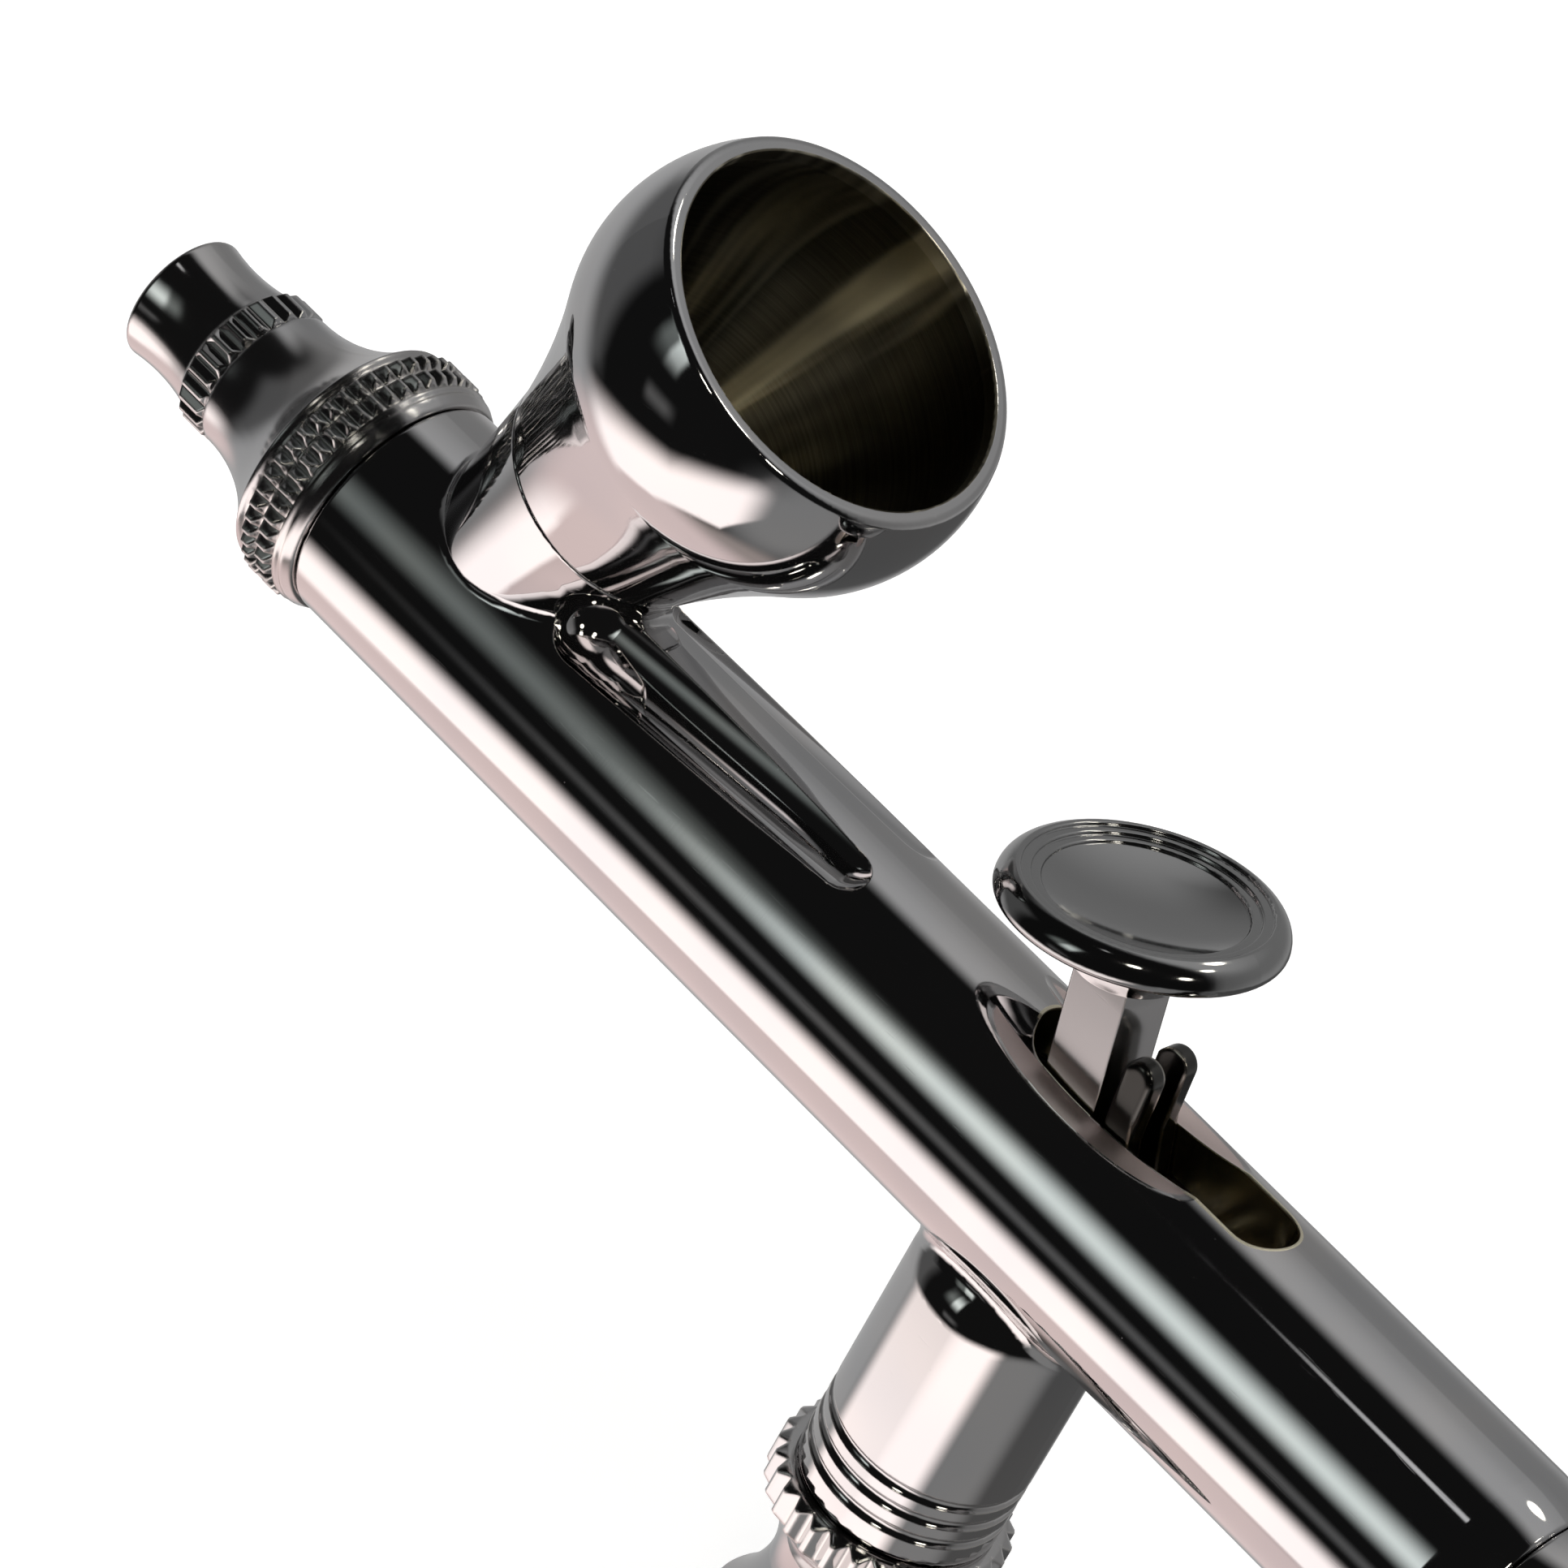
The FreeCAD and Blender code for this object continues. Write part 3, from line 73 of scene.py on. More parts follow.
class Graph:
    """Short ways to add and link the nodes of one shader."""

    def __init__(self, tree):
        self.tree = tree
        tree.nodes.clear()

    def node(self, kind, inputs=None, **settings):
        made = self.tree.nodes.new(kind)
        for name, value in settings.items():
            setattr(made, name, value)
        for name, value in (inputs or {}).items():
            self.feed(made.inputs[name], value)
        return made

    def feed(self, socket, value):
        if isinstance(value, bpy.types.NodeSocket):
            self.tree.links.new(value, socket)
        else:
            socket.default_value = value

    def math(self, operation, first, second=0.0, third=0.0):
        made = self.node("ShaderNodeMath", {0: first, 1: second, 2: third}, operation=operation)
        return made.outputs[0]

    def vector(self, operation, first, second=(0.0, 0.0, 0.0), result="Vector"):
        made = self.node("ShaderNodeVectorMath", {0: first, 1: second}, operation=operation)
        return made.outputs[result]

    def dot(self, first, second):
        return self.vector("DOT_PRODUCT", first, second, "Value")

    def ramp(self, value, low, high, at_low=0.0, at_high=1.0):
        """A smooth step from at_low to at_high as the value goes from low to high."""
        made = self.node("ShaderNodeMapRange", {
            "Value": value, "From Min": low, "From Max": high, "To Min": at_low, "To Max": at_high,
        }, interpolation_type="SMOOTHSTEP")
        return made.outputs["Result"]

    def along(self, value, low, high, at_low, at_high):
        """A straight climb from at_low to at_high as the value goes from low to high."""
        made = self.node("ShaderNodeMapRange", {
            "Value": value, "From Min": low, "From Max": high, "To Min": at_low, "To Max": at_high,
        })
        return made.outputs["Result"]

    def mix(self, share, first, second):
        made = self.node("ShaderNodeMix", data_type="RGBA")
        self.feed(made.inputs["Factor"], share)
        self.feed(made.inputs[MIX_FIRST], first)
        self.feed(made.inputs[MIX_SECOND], second)
        return made.outputs[MIX_RESULT]

    def between(self, share, first, second):
        """The number a share of the way from the first to the second."""
        step = self.math("SUBTRACT", second, first)
        return self.math("MULTIPLY_ADD", share, step, first)

    def inside_range(self, value, low, high, soft):
        """1 between low and high, falling to 0 over the soft distance outside them."""
        rising = self.ramp(value, low - soft, low)
        return self.math("MULTIPLY", rising, self.ramp(value, high, high + soft, 1.0, 0.0))

    def separate(self, vector):
        return self.node("ShaderNodeSeparateXYZ", {0: vector}).outputs

    def combine(self, x, y, z):
        return self.node("ShaderNodeCombineXYZ", {0: x, 1: y, 2: z}).outputs[0]

    def noise(self, place, scale, detail=2.0, roughness=0.5, distortion=0.0):
        made = self.node("ShaderNodeTexNoise", {
            "Vector": place, "Scale": scale, "Detail": detail, "Roughness": roughness,
            "Distortion": distortion,
        })
        return made.outputs["Fac"]


def colour(red, green, blue):
    return (red, green, blue, 1.0)


def grey(level, warmth=0.0):
    return colour(level * (1 + warmth), level, level * (1 - warmth))


# ---------------------------------------------------------------- studio

def heading(azimuth, elevation):
    """The unit vector towards an azimuth, from +X towards +Y, and an elevation, in degrees."""
    turn, rise = math.radians(azimuth), math.radians(elevation)
    return Vector((math.cos(rise) * math.cos(turn), math.cos(rise) * math.sin(turn), math.sin(rise)))


class Studio:
    """What the polished metal mirrors: a dark room with panels in it, laid one over the other.

    Places are azimuths from +X towards +Y, with -90 towards the camera's side, and elevations.
    """

    def __init__(self, graph, base, ray):
        self.graph = graph
        self.ray = ray
        self.x, self.y, self.z = graph.separate(self.ray)[:3]
        azimuth = graph.math("ARCTAN2", self.y, self.x)
        self.azimuth = graph.math("DEGREES", azimuth)
        self.elevation = graph.math("DEGREES", graph.math("ARCSINE", self.z))
        self.seen = base

    def lay(self, share, tint):
        self.seen = self.graph.mix(share, self.seen, tint)

    def edge(self, value, at, softness, rising=True):
        """A smooth edge at a place, which may itself vary, with this softness to each side."""
        distance = self.graph.math("SUBTRACT", value, at)
        if rising:
            return self.graph.ramp(distance, -softness, softness)
        return self.graph.ramp(distance, -softness, softness, 1.0, 0.0)

    def glow(self, azimuth, elevation, inner, outer, tint, strength=1.0):
        """A round patch that is full within the inner angle and gone beyond the outer one."""
        facing = self.graph.dot(self.ray, heading(azimuth, elevation))
        share = self.graph.ramp(facing, math.cos(math.radians(outer)), math.cos(math.radians(inner)))
        self.lay(self.graph.math("MULTIPLY", share, strength), tint)

    def panel(self, left, right, bottom, top, tint, soft, strength=1.0):
        """A panel between two azimuths and two elevations; soft is its four edges in that order."""
        graph = self.graph
        share = self.edge(self.azimuth, left, soft[0])
        share = graph.math("MULTIPLY", share, self.edge(self.azimuth, right, soft[1], False))
        share = graph.math("MULTIPLY", share, self.edge(self.elevation, bottom, soft[2]))
        share = graph.math("MULTIPLY", share, self.edge(self.elevation, top, soft[3], False))
        share = graph.math("MULTIPLY", share, strength)
        self.lay(share, tint)
        return share


DARK = grey(0.008)
PALE = grey(1.0)
WINDOW_COLOUR = colour(1.04, 1.13, 1.09)
WINDOW_SIDE_COLOUR = colour(0.20, 0.22, 0.21)
ROSY_TABLE = colour(0.96, 0.78, 0.76)
LAMP_COLOUR = colour(9.0, 8.6, 7.6)
LAMP_EDGE = 2.5
# azimuth, elevation and half width of the lamps above, in degrees
OVERHEAD_LAMPS = [(-66, 52, 2.2), (-14, 40, 2.6), (38, 64, 2.2), (96, 58, 2.0)]


def build_world():
    world = bpy.data.worlds.new("studio")
    bpy.context.scene.world = world
    world.use_nodes = True
    graph = Graph(world.node_tree)
    room = Studio(graph, DARK, graph.node("ShaderNodeTexCoord").outputs["Generated"])
    # dim surroundings on the left, low on the right, and across the table
    room.panel(-230, -152, -34, 20, grey(0.11), (1, 8, 6, 8))
    room.panel(110, 230, -34, 22, grey(0.13), (1, 1, 6, 10))
    room.panel(-50, 115, -80, -16, grey(0.10), (10, 1, 4, 8))
    # the grey wall behind the object: palest high up and low down, darker to the left
    wall = graph.mix(room.edge(room.elevation, 44, 20), grey(0.25), grey(0.46))
    wall = graph.mix(room.edge(room.elevation, -2, 12, False), wall, grey(0.35))
    wall = graph.mix(room.edge(room.azimuth, 30, 30, False), wall, grey(0.16))
    behind = graph.math("MULTIPLY", graph.ramp(room.y, 0.05, 0.30), room.edge(room.elevation, -20, 6))
    behind = graph.math("MULTIPLY", behind, graph.math("MAXIMUM", room.edge(room.azimuth, 150, 16, False),
                                                       room.edge(room.elevation, 36, 12)))
    room.lay(behind, wall)
    # the table: grey on both sides, rosy right below
    room.glow(-18, -38, 12, 34, grey(0.28))
    room.glow(148, -38, 24, 46, grey(0.45))
    room.panel(-400, 400, -100, -66, colour(0.42, 0.36, 0.34), (1, 1, 1, 5))
    room.glow(176, -74, 18, 34, ROSY_TABLE)
    # the softbox's dim reflection, and the window, brighter in its right half
    room.panel(-115, -98, -20, -13, grey(0.12), (3, 5, 4, 4))
    pane = graph.mix(room.edge(room.azimuth, -112.6, 2.2), WINDOW_SIDE_COLOUR, WINDOW_COLOUR)
    room.panel(-123, -102.5, 7.5, 25, pane, (4, 2, 9, 11))
    # lamps overhead, which the inside of the cup streaks
    for azimuth, elevation, width in OVERHEAD_LAMPS:
        room.glow(azimuth, elevation, width, width + LAMP_EDGE, LAMP_COLOUR)
    room.glow(-127, 65.5, 0.6, 2.8, grey(0.72))
    camera_ray = graph.node("ShaderNodeLightPath").outputs["Is Camera Ray"]
    shown = graph.mix(camera_ray, room.seen, PALE)
    background = graph.node("ShaderNodeBackground", {"Color": shown, "Strength": 1.0})
    output = graph.node("ShaderNodeOutputWorld")
    graph.feed(output.inputs["Surface"], background.outputs[0])


SOFTBOX_COLOUR = (1.75, 1.58, 1.54)
SOFTBOX_DISTANCE = 0.24
SOFTBOX_MIDDLE = Vector((-0.004, -0.004, -0.012))


def build_softbox():
    """The big softbox low in front, which the metal mirrors: near, so each piece sees it elsewhere.

    It is a patch of a ball around the valve boss. It climbs to the right and its ends are narrower.
    """
    bpy.ops.mesh.primitive_uv_sphere_add(segments=48, ring_count=24, radius=SOFTBOX_DISTANCE,
                                         location=SOFTBOX_MIDDLE)
    softbox = bpy.context.object
    softbox.name = "softbox"
    material = bpy.data.materials.new("softbox_cloth")
    material.use_nodes = True
    graph = Graph(material.node_tree)
    place = graph.node("ShaderNodeTexCoord").outputs["Object"]
    room = Studio(graph, grey(0.0), graph.vector("NORMALIZE", place))
    upper = graph.along(room.azimuth, -100.0, -45.0, -33.5, -16.0)
    lower = graph.math("ADD", graph.along(room.azimuth, -160.0, -130.0, -54.0, -62.0),
                       graph.along(room.azimuth, -62.0, -35.0, 0.0, 27.0))
    share = room.panel(-165, -46, lower, upper, colour(*SOFTBOX_COLOUR), (10, 10, 2.4, 9.5))
    cloth = graph.node("ShaderNodeEmission", {"Color": colour(*SOFTBOX_COLOUR)})
    clear = graph.node("ShaderNodeBsdfTransparent")
    choice = graph.node("ShaderNodeMixShader", {0: share, 1: clear.outputs[0], 2: cloth.outputs[0]})
    output = graph.node("ShaderNodeOutputMaterial")
    graph.feed(output.inputs["Surface"], choice.outputs[0])
    softbox.data.materials.append(material)
    softbox.visible_camera = False
    softbox.visible_diffuse = False
    softbox.visible_shadow = False


FLOOR_SIZE = 12.0
FLOOR_DROP = 0.0002
FLOOR_GLOW = 0.56


def build_floor():
    """A pale floor under the air inlet. Mirrors look past it, to the studio."""
    mesh = bpy.data.meshes.new("floor")
    half = FLOOR_SIZE / 2
    height = cad_box[0].z - FLOOR_DROP
    corners = [(-half, -half, height), (half, -half, height), (half, half, height), (-half, half, height)]
    mesh.from_pydata(corners, [], [(0, 1, 2, 3)])
    floor = bpy.data.objects.new("floor", mesh)
    bpy.context.scene.collection.objects.link(floor)
    material = bpy.data.materials.new("floor_paper")
    material.use_nodes = True
    graph = Graph(material.node_tree)
    place = graph.node("ShaderNodeTexCoord").outputs["Object"]
    mottle = graph.ramp(graph.noise(place, 9.0, 3.0), 0.3, 0.7, 0.90, 0.92)
    tint = graph.combine(mottle, mottle, mottle)
    paper = graph.node("ShaderNodeBsdfDiffuse", {"Color": tint})
    lit = graph.node("ShaderNodeEmission", {"Color": PALE, "Strength": FLOOR_GLOW})
    both = graph.node("ShaderNodeAddShader", {0: paper.outputs[0], 1: lit.outputs[0]})
    clear = graph.node("ShaderNodeBsdfTransparent")
    from_below = graph.node("ShaderNodeNewGeometry").outputs["Backfacing"]
    choice = graph.node("ShaderNodeMixShader", {0: from_below, 1: both.outputs[0], 2: clear.outputs[0]})
    output = graph.node("ShaderNodeOutputMaterial")
    graph.feed(output.inputs["Surface"], choice.outputs[0])
    mesh.materials.append(material)
    floor.visible_glossy = False
    floor.visible_shadow = False


OVERHEAD_PLACE = Vector((-0.25, -0.3, 1.2))
OVERHEAD_SIZE = 1.6
OVERHEAD_WATTS = 9.0


def build_lights():
    """Broad overhead light for the floor and the seals; the metal doesn't mirror it."""
    data = bpy.data.lights.new("overhead", "AREA")
    data.shape = "DISK"
    data.size = OVERHEAD_SIZE
    data.energy = OVERHEAD_WATTS
    lamp = bpy.data.objects.new("overhead", data)
    bpy.context.scene.collection.objects.link(lamp)
    lamp.location = OVERHEAD_PLACE
    lamp.rotation_mode = "QUATERNION"
    lamp.rotation_quaternion = lamp.location.to_track_quat("Z", "Y")
    lamp.visible_glossy = False


CAMERA_PLACE = Vector((0.106289, -0.246314, 0.194464))
CAMERA_RIGHT = Vector((0.658414, 0.643765, 0.389945))
CAMERA_AHEAD = Vector((-0.381369, 0.732010, -0.564551))
CAMERA_LENS = 173.69


def build_camera():
    """The photograph's viewing angle: from the left of the trigger, above, and looking to the nose."""
    data = bpy.data.cameras.new("camera")
    data.sensor_width = 36.0
    data.lens = CAMERA_LENS
    data.clip_start = 0.01
    data.clip_end = 50.0
    camera = bpy.data.objects.new("camera", data)
    bpy.context.scene.collection.objects.link(camera)
    turn = Matrix((CAMERA_RIGHT, CAMERA_RIGHT.cross(CAMERA_AHEAD), -CAMERA_AHEAD)).transposed()
    camera.matrix_world = Matrix.Translation(CAMERA_PLACE) @ turn.to_4x4()
    bpy.context.scene.camera = camera


# ---------------------------------------------------------------- materials

PLATE = (0.63, 0.615, 0.61)
# pale worn edges, which also serve as painted highlights along the edges
WORN_EDGE_AND_GLINT = colour(0.86, 0.80, 0.72)
# the lever's plating, darkened to near black: painted shade, so its faces stay dark instead of mirroring the
# bright softbox
LEVER_SHADED_TINT = (0.10, 0.098, 0.092)
STEEL_FITTING = (0.62, 0.61, 0.60)
BRASS = (0.78, 0.60, 0.32)
NEEDLE = (0.70, 0.70, 0.71)
SPRING_WIRE = (0.50, 0.50, 0.51)
WHITE_SEAL = (0.86, 0.86, 0.84)
BLACK_RUBBER = (0.025, 0.025, 0.026)
# the cup's unpolished inside, between its rings and on them, and its painted highlight streaks
HOLLOW_DULL, HOLLOW_DEEP = colour(0.22, 0.20, 0.15), colour(0.14, 0.125, 0.09)
HOLLOW_PAINTED_STREAK = colour(1.0, 0.93, 0.74)
# noise scales, per metre, and the depth of the bump they give
RING_SCALE, SWELL_SCALE, HAZE_SCALE, SPECK_SCALE = 9000.0, 130.0, 210.0, 1500.0
HAIR_SCALES = (500, 9000, 9000)
BUMP_DEPTH = 0.004 * MM


def new_material(name):
    material = bpy.data.materials.new(name)
    material.use_nodes = True
    return material, Graph(material.node_tree)


def finish_material(graph, shader, normal=None):
    if normal is not None:
        graph.feed(shader.inputs["Normal"], normal)
    output = graph.node("ShaderNodeOutputMaterial")
    graph.feed(output.inputs["Surface"], shader.outputs[0])


def axis_places(graph, foot, axis):
    """How far a point lies along an axis and away from it, and the point itself, in the frame."""
    place = graph.node("ShaderNodeTexCoord").outputs["Object"]
    from_foot = graph.vector("SUBTRACT", place, foot)
    along = graph.dot(from_foot, axis)
    shadow = graph.vector("SCALE", tuple(axis))
    graph.feed(shadow.node.inputs["Scale"], along)
    spoke = graph.vector("SUBTRACT", from_foot, shadow)
    return along, graph.vector("LENGTH", spoke, result="Value"), spoke, place


def polished_plating(name, tint, foot=(0, 0, 0), axis=(1, 0, 0), gloss=0.035, turned=0.3, wear_and_glint=0.5,
                     edge_radius=0.12, patches=None, inside=None):
    """Mirror-polished dark plating: faint lathe rings, wiped haze, hairline scratches, pale edges that are
    partly wear and partly painted highlight.

    patches(graph, place, radius) gives (share, tint, roughness) of places that were left satin or bare or that
    carry a painted reflection, highlight or shade, and inside(graph, along, spoke, normal) the share of a
    turned hollow that was left unpolished, with painted highlight streaks in it.
    """
    material, graph = new_material(name)
    along, radius, spoke, place = axis_places(graph, foot, axis)
    # rings left by turning and polishing, which vary along the axis only
    rings = graph.noise(graph.combine(along, graph.math("MULTIPLY", radius, 0.6), 0.0), RING_SCALE,
                        3.0, 0.7)
    # slow swell of the plating, so that reflections aren't ruled lines
    swell = graph.noise(place, SWELL_SCALE, 2.0, 0.4)
    # hairline scratches, mostly along the barrel
    stretched = graph.node("ShaderNodeMapping", {"Vector": place, "Scale": HAIR_SCALES},
                           vector_type="POINT").outputs[0]
    hairs = graph.ramp(graph.noise(stretched, 1.0, 1.0, 0.5, 0.4), 0.70, 0.76)
    haze = graph.ramp(graph.noise(place, HAZE_SCALE, 4.0, 0.6, 0.8), 0.42, 0.72)
    specks = graph.node("ShaderNodeTexVoronoi", {"Vector": place, "Scale": SPECK_SCALE})
    speck = graph.ramp(specks.outputs["Distance"], 0.05, 0.09, 1.0, 0.0)
    rare = graph.math("GREATER_THAN", graph.separate(specks.outputs["Color"])[0], 0.93)
    speck = graph.math("MULTIPLY", speck, rare)
    roughness = graph.math("MULTIPLY_ADD", haze, 0.030, gloss)
    roughness = graph.math("MULTIPLY_ADD", hairs, 0.05, roughness)
    roughness = graph.math("MULTIPLY_ADD", speck, 0.18, roughness)
    # worn edges are paler; these pale edges are also a painted highlight, strongest on the dark lever
    bevel = graph.node("ShaderNodeBevel", {"Radius": edge_radius * MM}, samples=8)
    true_normal = graph.node("ShaderNodeNewGeometry").outputs["Normal"]
    edge = graph.ramp(graph.dot(bevel.outputs[0], true_normal), 0.985, 0.90)
    tinted = graph.mix(graph.ramp(swell, 0.35, 0.65), colour(*tint),
                       colour(tint[0] * 0.93, tint[1] * 0.95, tint[2] * 0.97))
    tinted = graph.mix(graph.math("MULTIPLY", edge, wear_and_glint), tinted, WORN_EDGE_AND_GLINT)
    if patches:
        for share, patch_tint, patch_roughness in patches(graph, place, radius):
            tinted = graph.mix(share, tinted, patch_tint)
            roughness = graph.between(share, roughness, patch_roughness)
    height = graph.math("MULTIPLY_ADD", rings, turned, graph.math("MULTIPLY", swell, 6.0))
    height = graph.math("MULTIPLY_ADD", hairs, -0.5, height)
    bump = graph.node("ShaderNodeBump", {"Strength": 0.12, "Distance": BUMP_DEPTH, "Height": height,
                                         "Normal": bevel.outputs[0]})
    shader = graph.node("ShaderNodeBsdfPrincipled", {
        "Base Color": tinted, "Metallic": 1.0, "Roughness": roughness,
    })
    if inside:
        share = inside(graph, along, spoke, true_normal)
        # painted highlight streaks: bright in some directions round the axis and dull in others
        round_axis = graph.vector("SCALE", graph.vector("NORMALIZE", spoke))
        graph.feed(round_axis.node.inputs["Scale"], 1.9)
        lean = graph.combine(0.0, 0.0, graph.math("MULTIPLY", along, 22.0))
        painted_streaks = graph.noise(graph.vector("ADD", round_axis, lean), 1.0, 3.0, 0.62)
        dull = graph.mix(graph.ramp(rings, 0.3, 0.7), HOLLOW_DULL, HOLLOW_DEEP)
        hollow_tint_with_streaks = graph.mix(graph.ramp(painted_streaks, 0.52, 0.66), dull, HOLLOW_PAINTED_STREAK)
        around = graph.vector("CROSS_PRODUCT", tuple(axis), spoke)
        down = graph.vector("CROSS_PRODUCT", true_normal, around)
        hollow = graph.node("ShaderNodeBsdfPrincipled", {
            "Base Color": hollow_tint_with_streaks, "Metallic": 1.0, "Roughness": 0.30, "Anisotropic": 0.93,
            "Tangent": down, "Normal": true_normal,
        })
        both = graph.node("ShaderNodeMixShader", {0: share, 1: shader.outputs[0], 2: hollow.outputs[0]})
        graph.feed(shader.inputs["Normal"], bump.outputs[0])
        finish_material(graph, both)
    else:
        finish_material(graph, shader, bump.outputs[0])
    return material


def simple_metal(name, tint, roughness, foot=(0, 0, 0), axis=(1, 0, 0), depth=0.006):
    """Turned, unpolished metal: visible rings along the axis and a little stain."""
    material, graph = new_material(name)
    along, radius, spoke, place = axis_places(graph, foot, axis)
    rings = graph.noise(graph.combine(along, graph.math("MULTIPLY", radius, 0.7), 0.0), 7000.0, 4.0, 0.7)
    stain = graph.ramp(graph.noise(place, 320.0, 4.0, 0.6), 0.35, 0.7)
    tinted = graph.mix(stain, colour(*tint), colour(tint[0] * 0.82, tint[1] * 0.78, tint[2] * 0.74))
    rough = graph.math("MULTIPLY_ADD", stain, 0.12, roughness)
    bump = graph.node("ShaderNodeBump", {"Strength": 0.35, "Distance": depth * MM, "Height": rings})
    shader = graph.node("ShaderNodeBsdfPrincipled", {
        "Base Color": tinted, "Metallic": 1.0, "Roughness": rough, "Anisotropic": 0.5,
    })
    finish_material(graph, shader, bump.outputs[0])
    return material


def moulded(name, tint, roughness, grain):
    """Rubber or plastic: fine grain, slight mottling, a soft sheen."""
    material, graph = new_material(name)
    place = graph.node("ShaderNodeTexCoord").outputs["Object"]
    fine = graph.noise(place, 9000.0, 3.0, 0.6)
    mottle = graph.ramp(graph.noise(place, 900.0, 3.0, 0.5), 0.35, 0.65)
    tinted = graph.mix(mottle, colour(*tint), colour(tint[0] * 0.86, tint[1] * 0.86, tint[2] * 0.84))
    bump = graph.node("ShaderNodeBump", {"Strength": grain, "Distance": 0.01 * MM, "Height": fine})
    shader = graph.node("ShaderNodeBsdfPrincipled", {
        "Base Color": tinted, "Roughness": roughness, "Sheen Weight": 0.15,
    })
    finish_material(graph, shader, bump.outputs[0])
    return material


CUP_LEAN = math.radians(23.66)
CUP_FOOT = (-40.79 * MM, 0.0, 0.0)
CUP_AXIS = (math.sin(CUP_LEAN), 0.0, math.cos(CUP_LEAN))
CUP_FLOOR = 9.4 * MM


def cup_hollow(graph, along, spoke, normal):
    """The cup's inside: above its floor, where the surface faces the axis."""
    outward = graph.dot(graph.vector("NORMALIZE", spoke), normal)
    facing_in = graph.ramp(outward, -0.30, -0.12, 1.0, 0.0)
    return graph.math("MULTIPLY", facing_in, graph.ramp(along, CUP_FLOOR - 0.2 * MM, CUP_FLOOR))


# the trigger's slot: the middle and half length of its straight part, and its half width
SLOT_MIDDLE, SLOT_STRAIGHT, SLOT_HALF_WIDTH = 2.375 * MM, 5.775 * MM, 1.9 * MM


def barrel_patches(graph, place, radius):
    """The ground finger scallops beside the trigger are satin, with a painted rosy reflection in their tint;
    the trigger's slot is bare inside, with a painted golden highlight along its edge.
    """
    x, y, z = graph.separate(place)[:3]
    low = graph.ramp(radius, 5.86 * MM, 5.93 * MM, 1.0, 0.0)
    near_trigger = graph.inside_range(x, -8.4 * MM, 7.4 * MM, 0.6 * MM)
    beside = graph.ramp(graph.math("ABSOLUTE", y), 1.92 * MM, 2.0 * MM)
    scallop = graph.math("MULTIPLY", graph.math("MULTIPLY", low, near_trigger), beside)
    scallop = graph.math("MULTIPLY", scallop, graph.ramp(z, 1.0 * MM, 1.5 * MM))
    past_end = graph.math("ABSOLUTE", graph.math("SUBTRACT", x, SLOT_MIDDLE))
    past_end = graph.math("MAXIMUM", graph.math("SUBTRACT", past_end, SLOT_STRAIGHT), 0.0)
    from_slot = graph.vector("LENGTH", graph.combine(past_end, y, 0.0), result="Value")
    slot = graph.ramp(from_slot, SLOT_HALF_WIDTH, SLOT_HALF_WIDTH + 0.04 * MM, 1.0, 0.0)
    slot = graph.math("MULTIPLY", slot, graph.ramp(z, 0.0, 1.0 * MM))
    # painted golden highlight along the slot's edge
    painted_lip_glint = graph.ramp(from_slot, SLOT_HALF_WIDTH + 0.13 * MM, SLOT_HALF_WIDTH + 0.17 * MM, 1.0, 0.0)
    painted_lip_glint = graph.math("MULTIPLY", painted_lip_glint, graph.ramp(radius, 5.82 * MM, 5.90 * MM))
    painted_lip_glint = graph.math("MULTIPLY", painted_lip_glint, graph.ramp(z, 1.0 * MM, 2.0 * MM))
    # scallop tint: a painted rosy reflection of the table, over its satin finish; slot: bare metal; lip: a
    # painted golden highlight along the slot's edge
    return [(scallop, colour(0.96, 0.81, 0.78), 0.44), (slot, colour(0.50, 0.43, 0.27), 0.25),
            (painted_lip_glint, colour(1.0, 0.93, 0.72), 0.38)]


def trigger_patches(graph, place, radius):
    """The flat stem is satin; the pad's top is darkened, a painted shade."""
    z = graph.separate(place)[2]
    stem = graph.ramp(z, 9.5 * MM, 10.2 * MM, 1.0, 0.0)
    # the pad's top: painted shade, a darker tint standing in for its dim reflection
    pad_painted_shade = graph.ramp(z, 10.4 * MM, 11.6 * MM)
    return [(stem, colour(0.72, 0.70, 0.70), 0.17), (pad_painted_shade, colour(0.44, 0.44, 0.44), 0.085)]


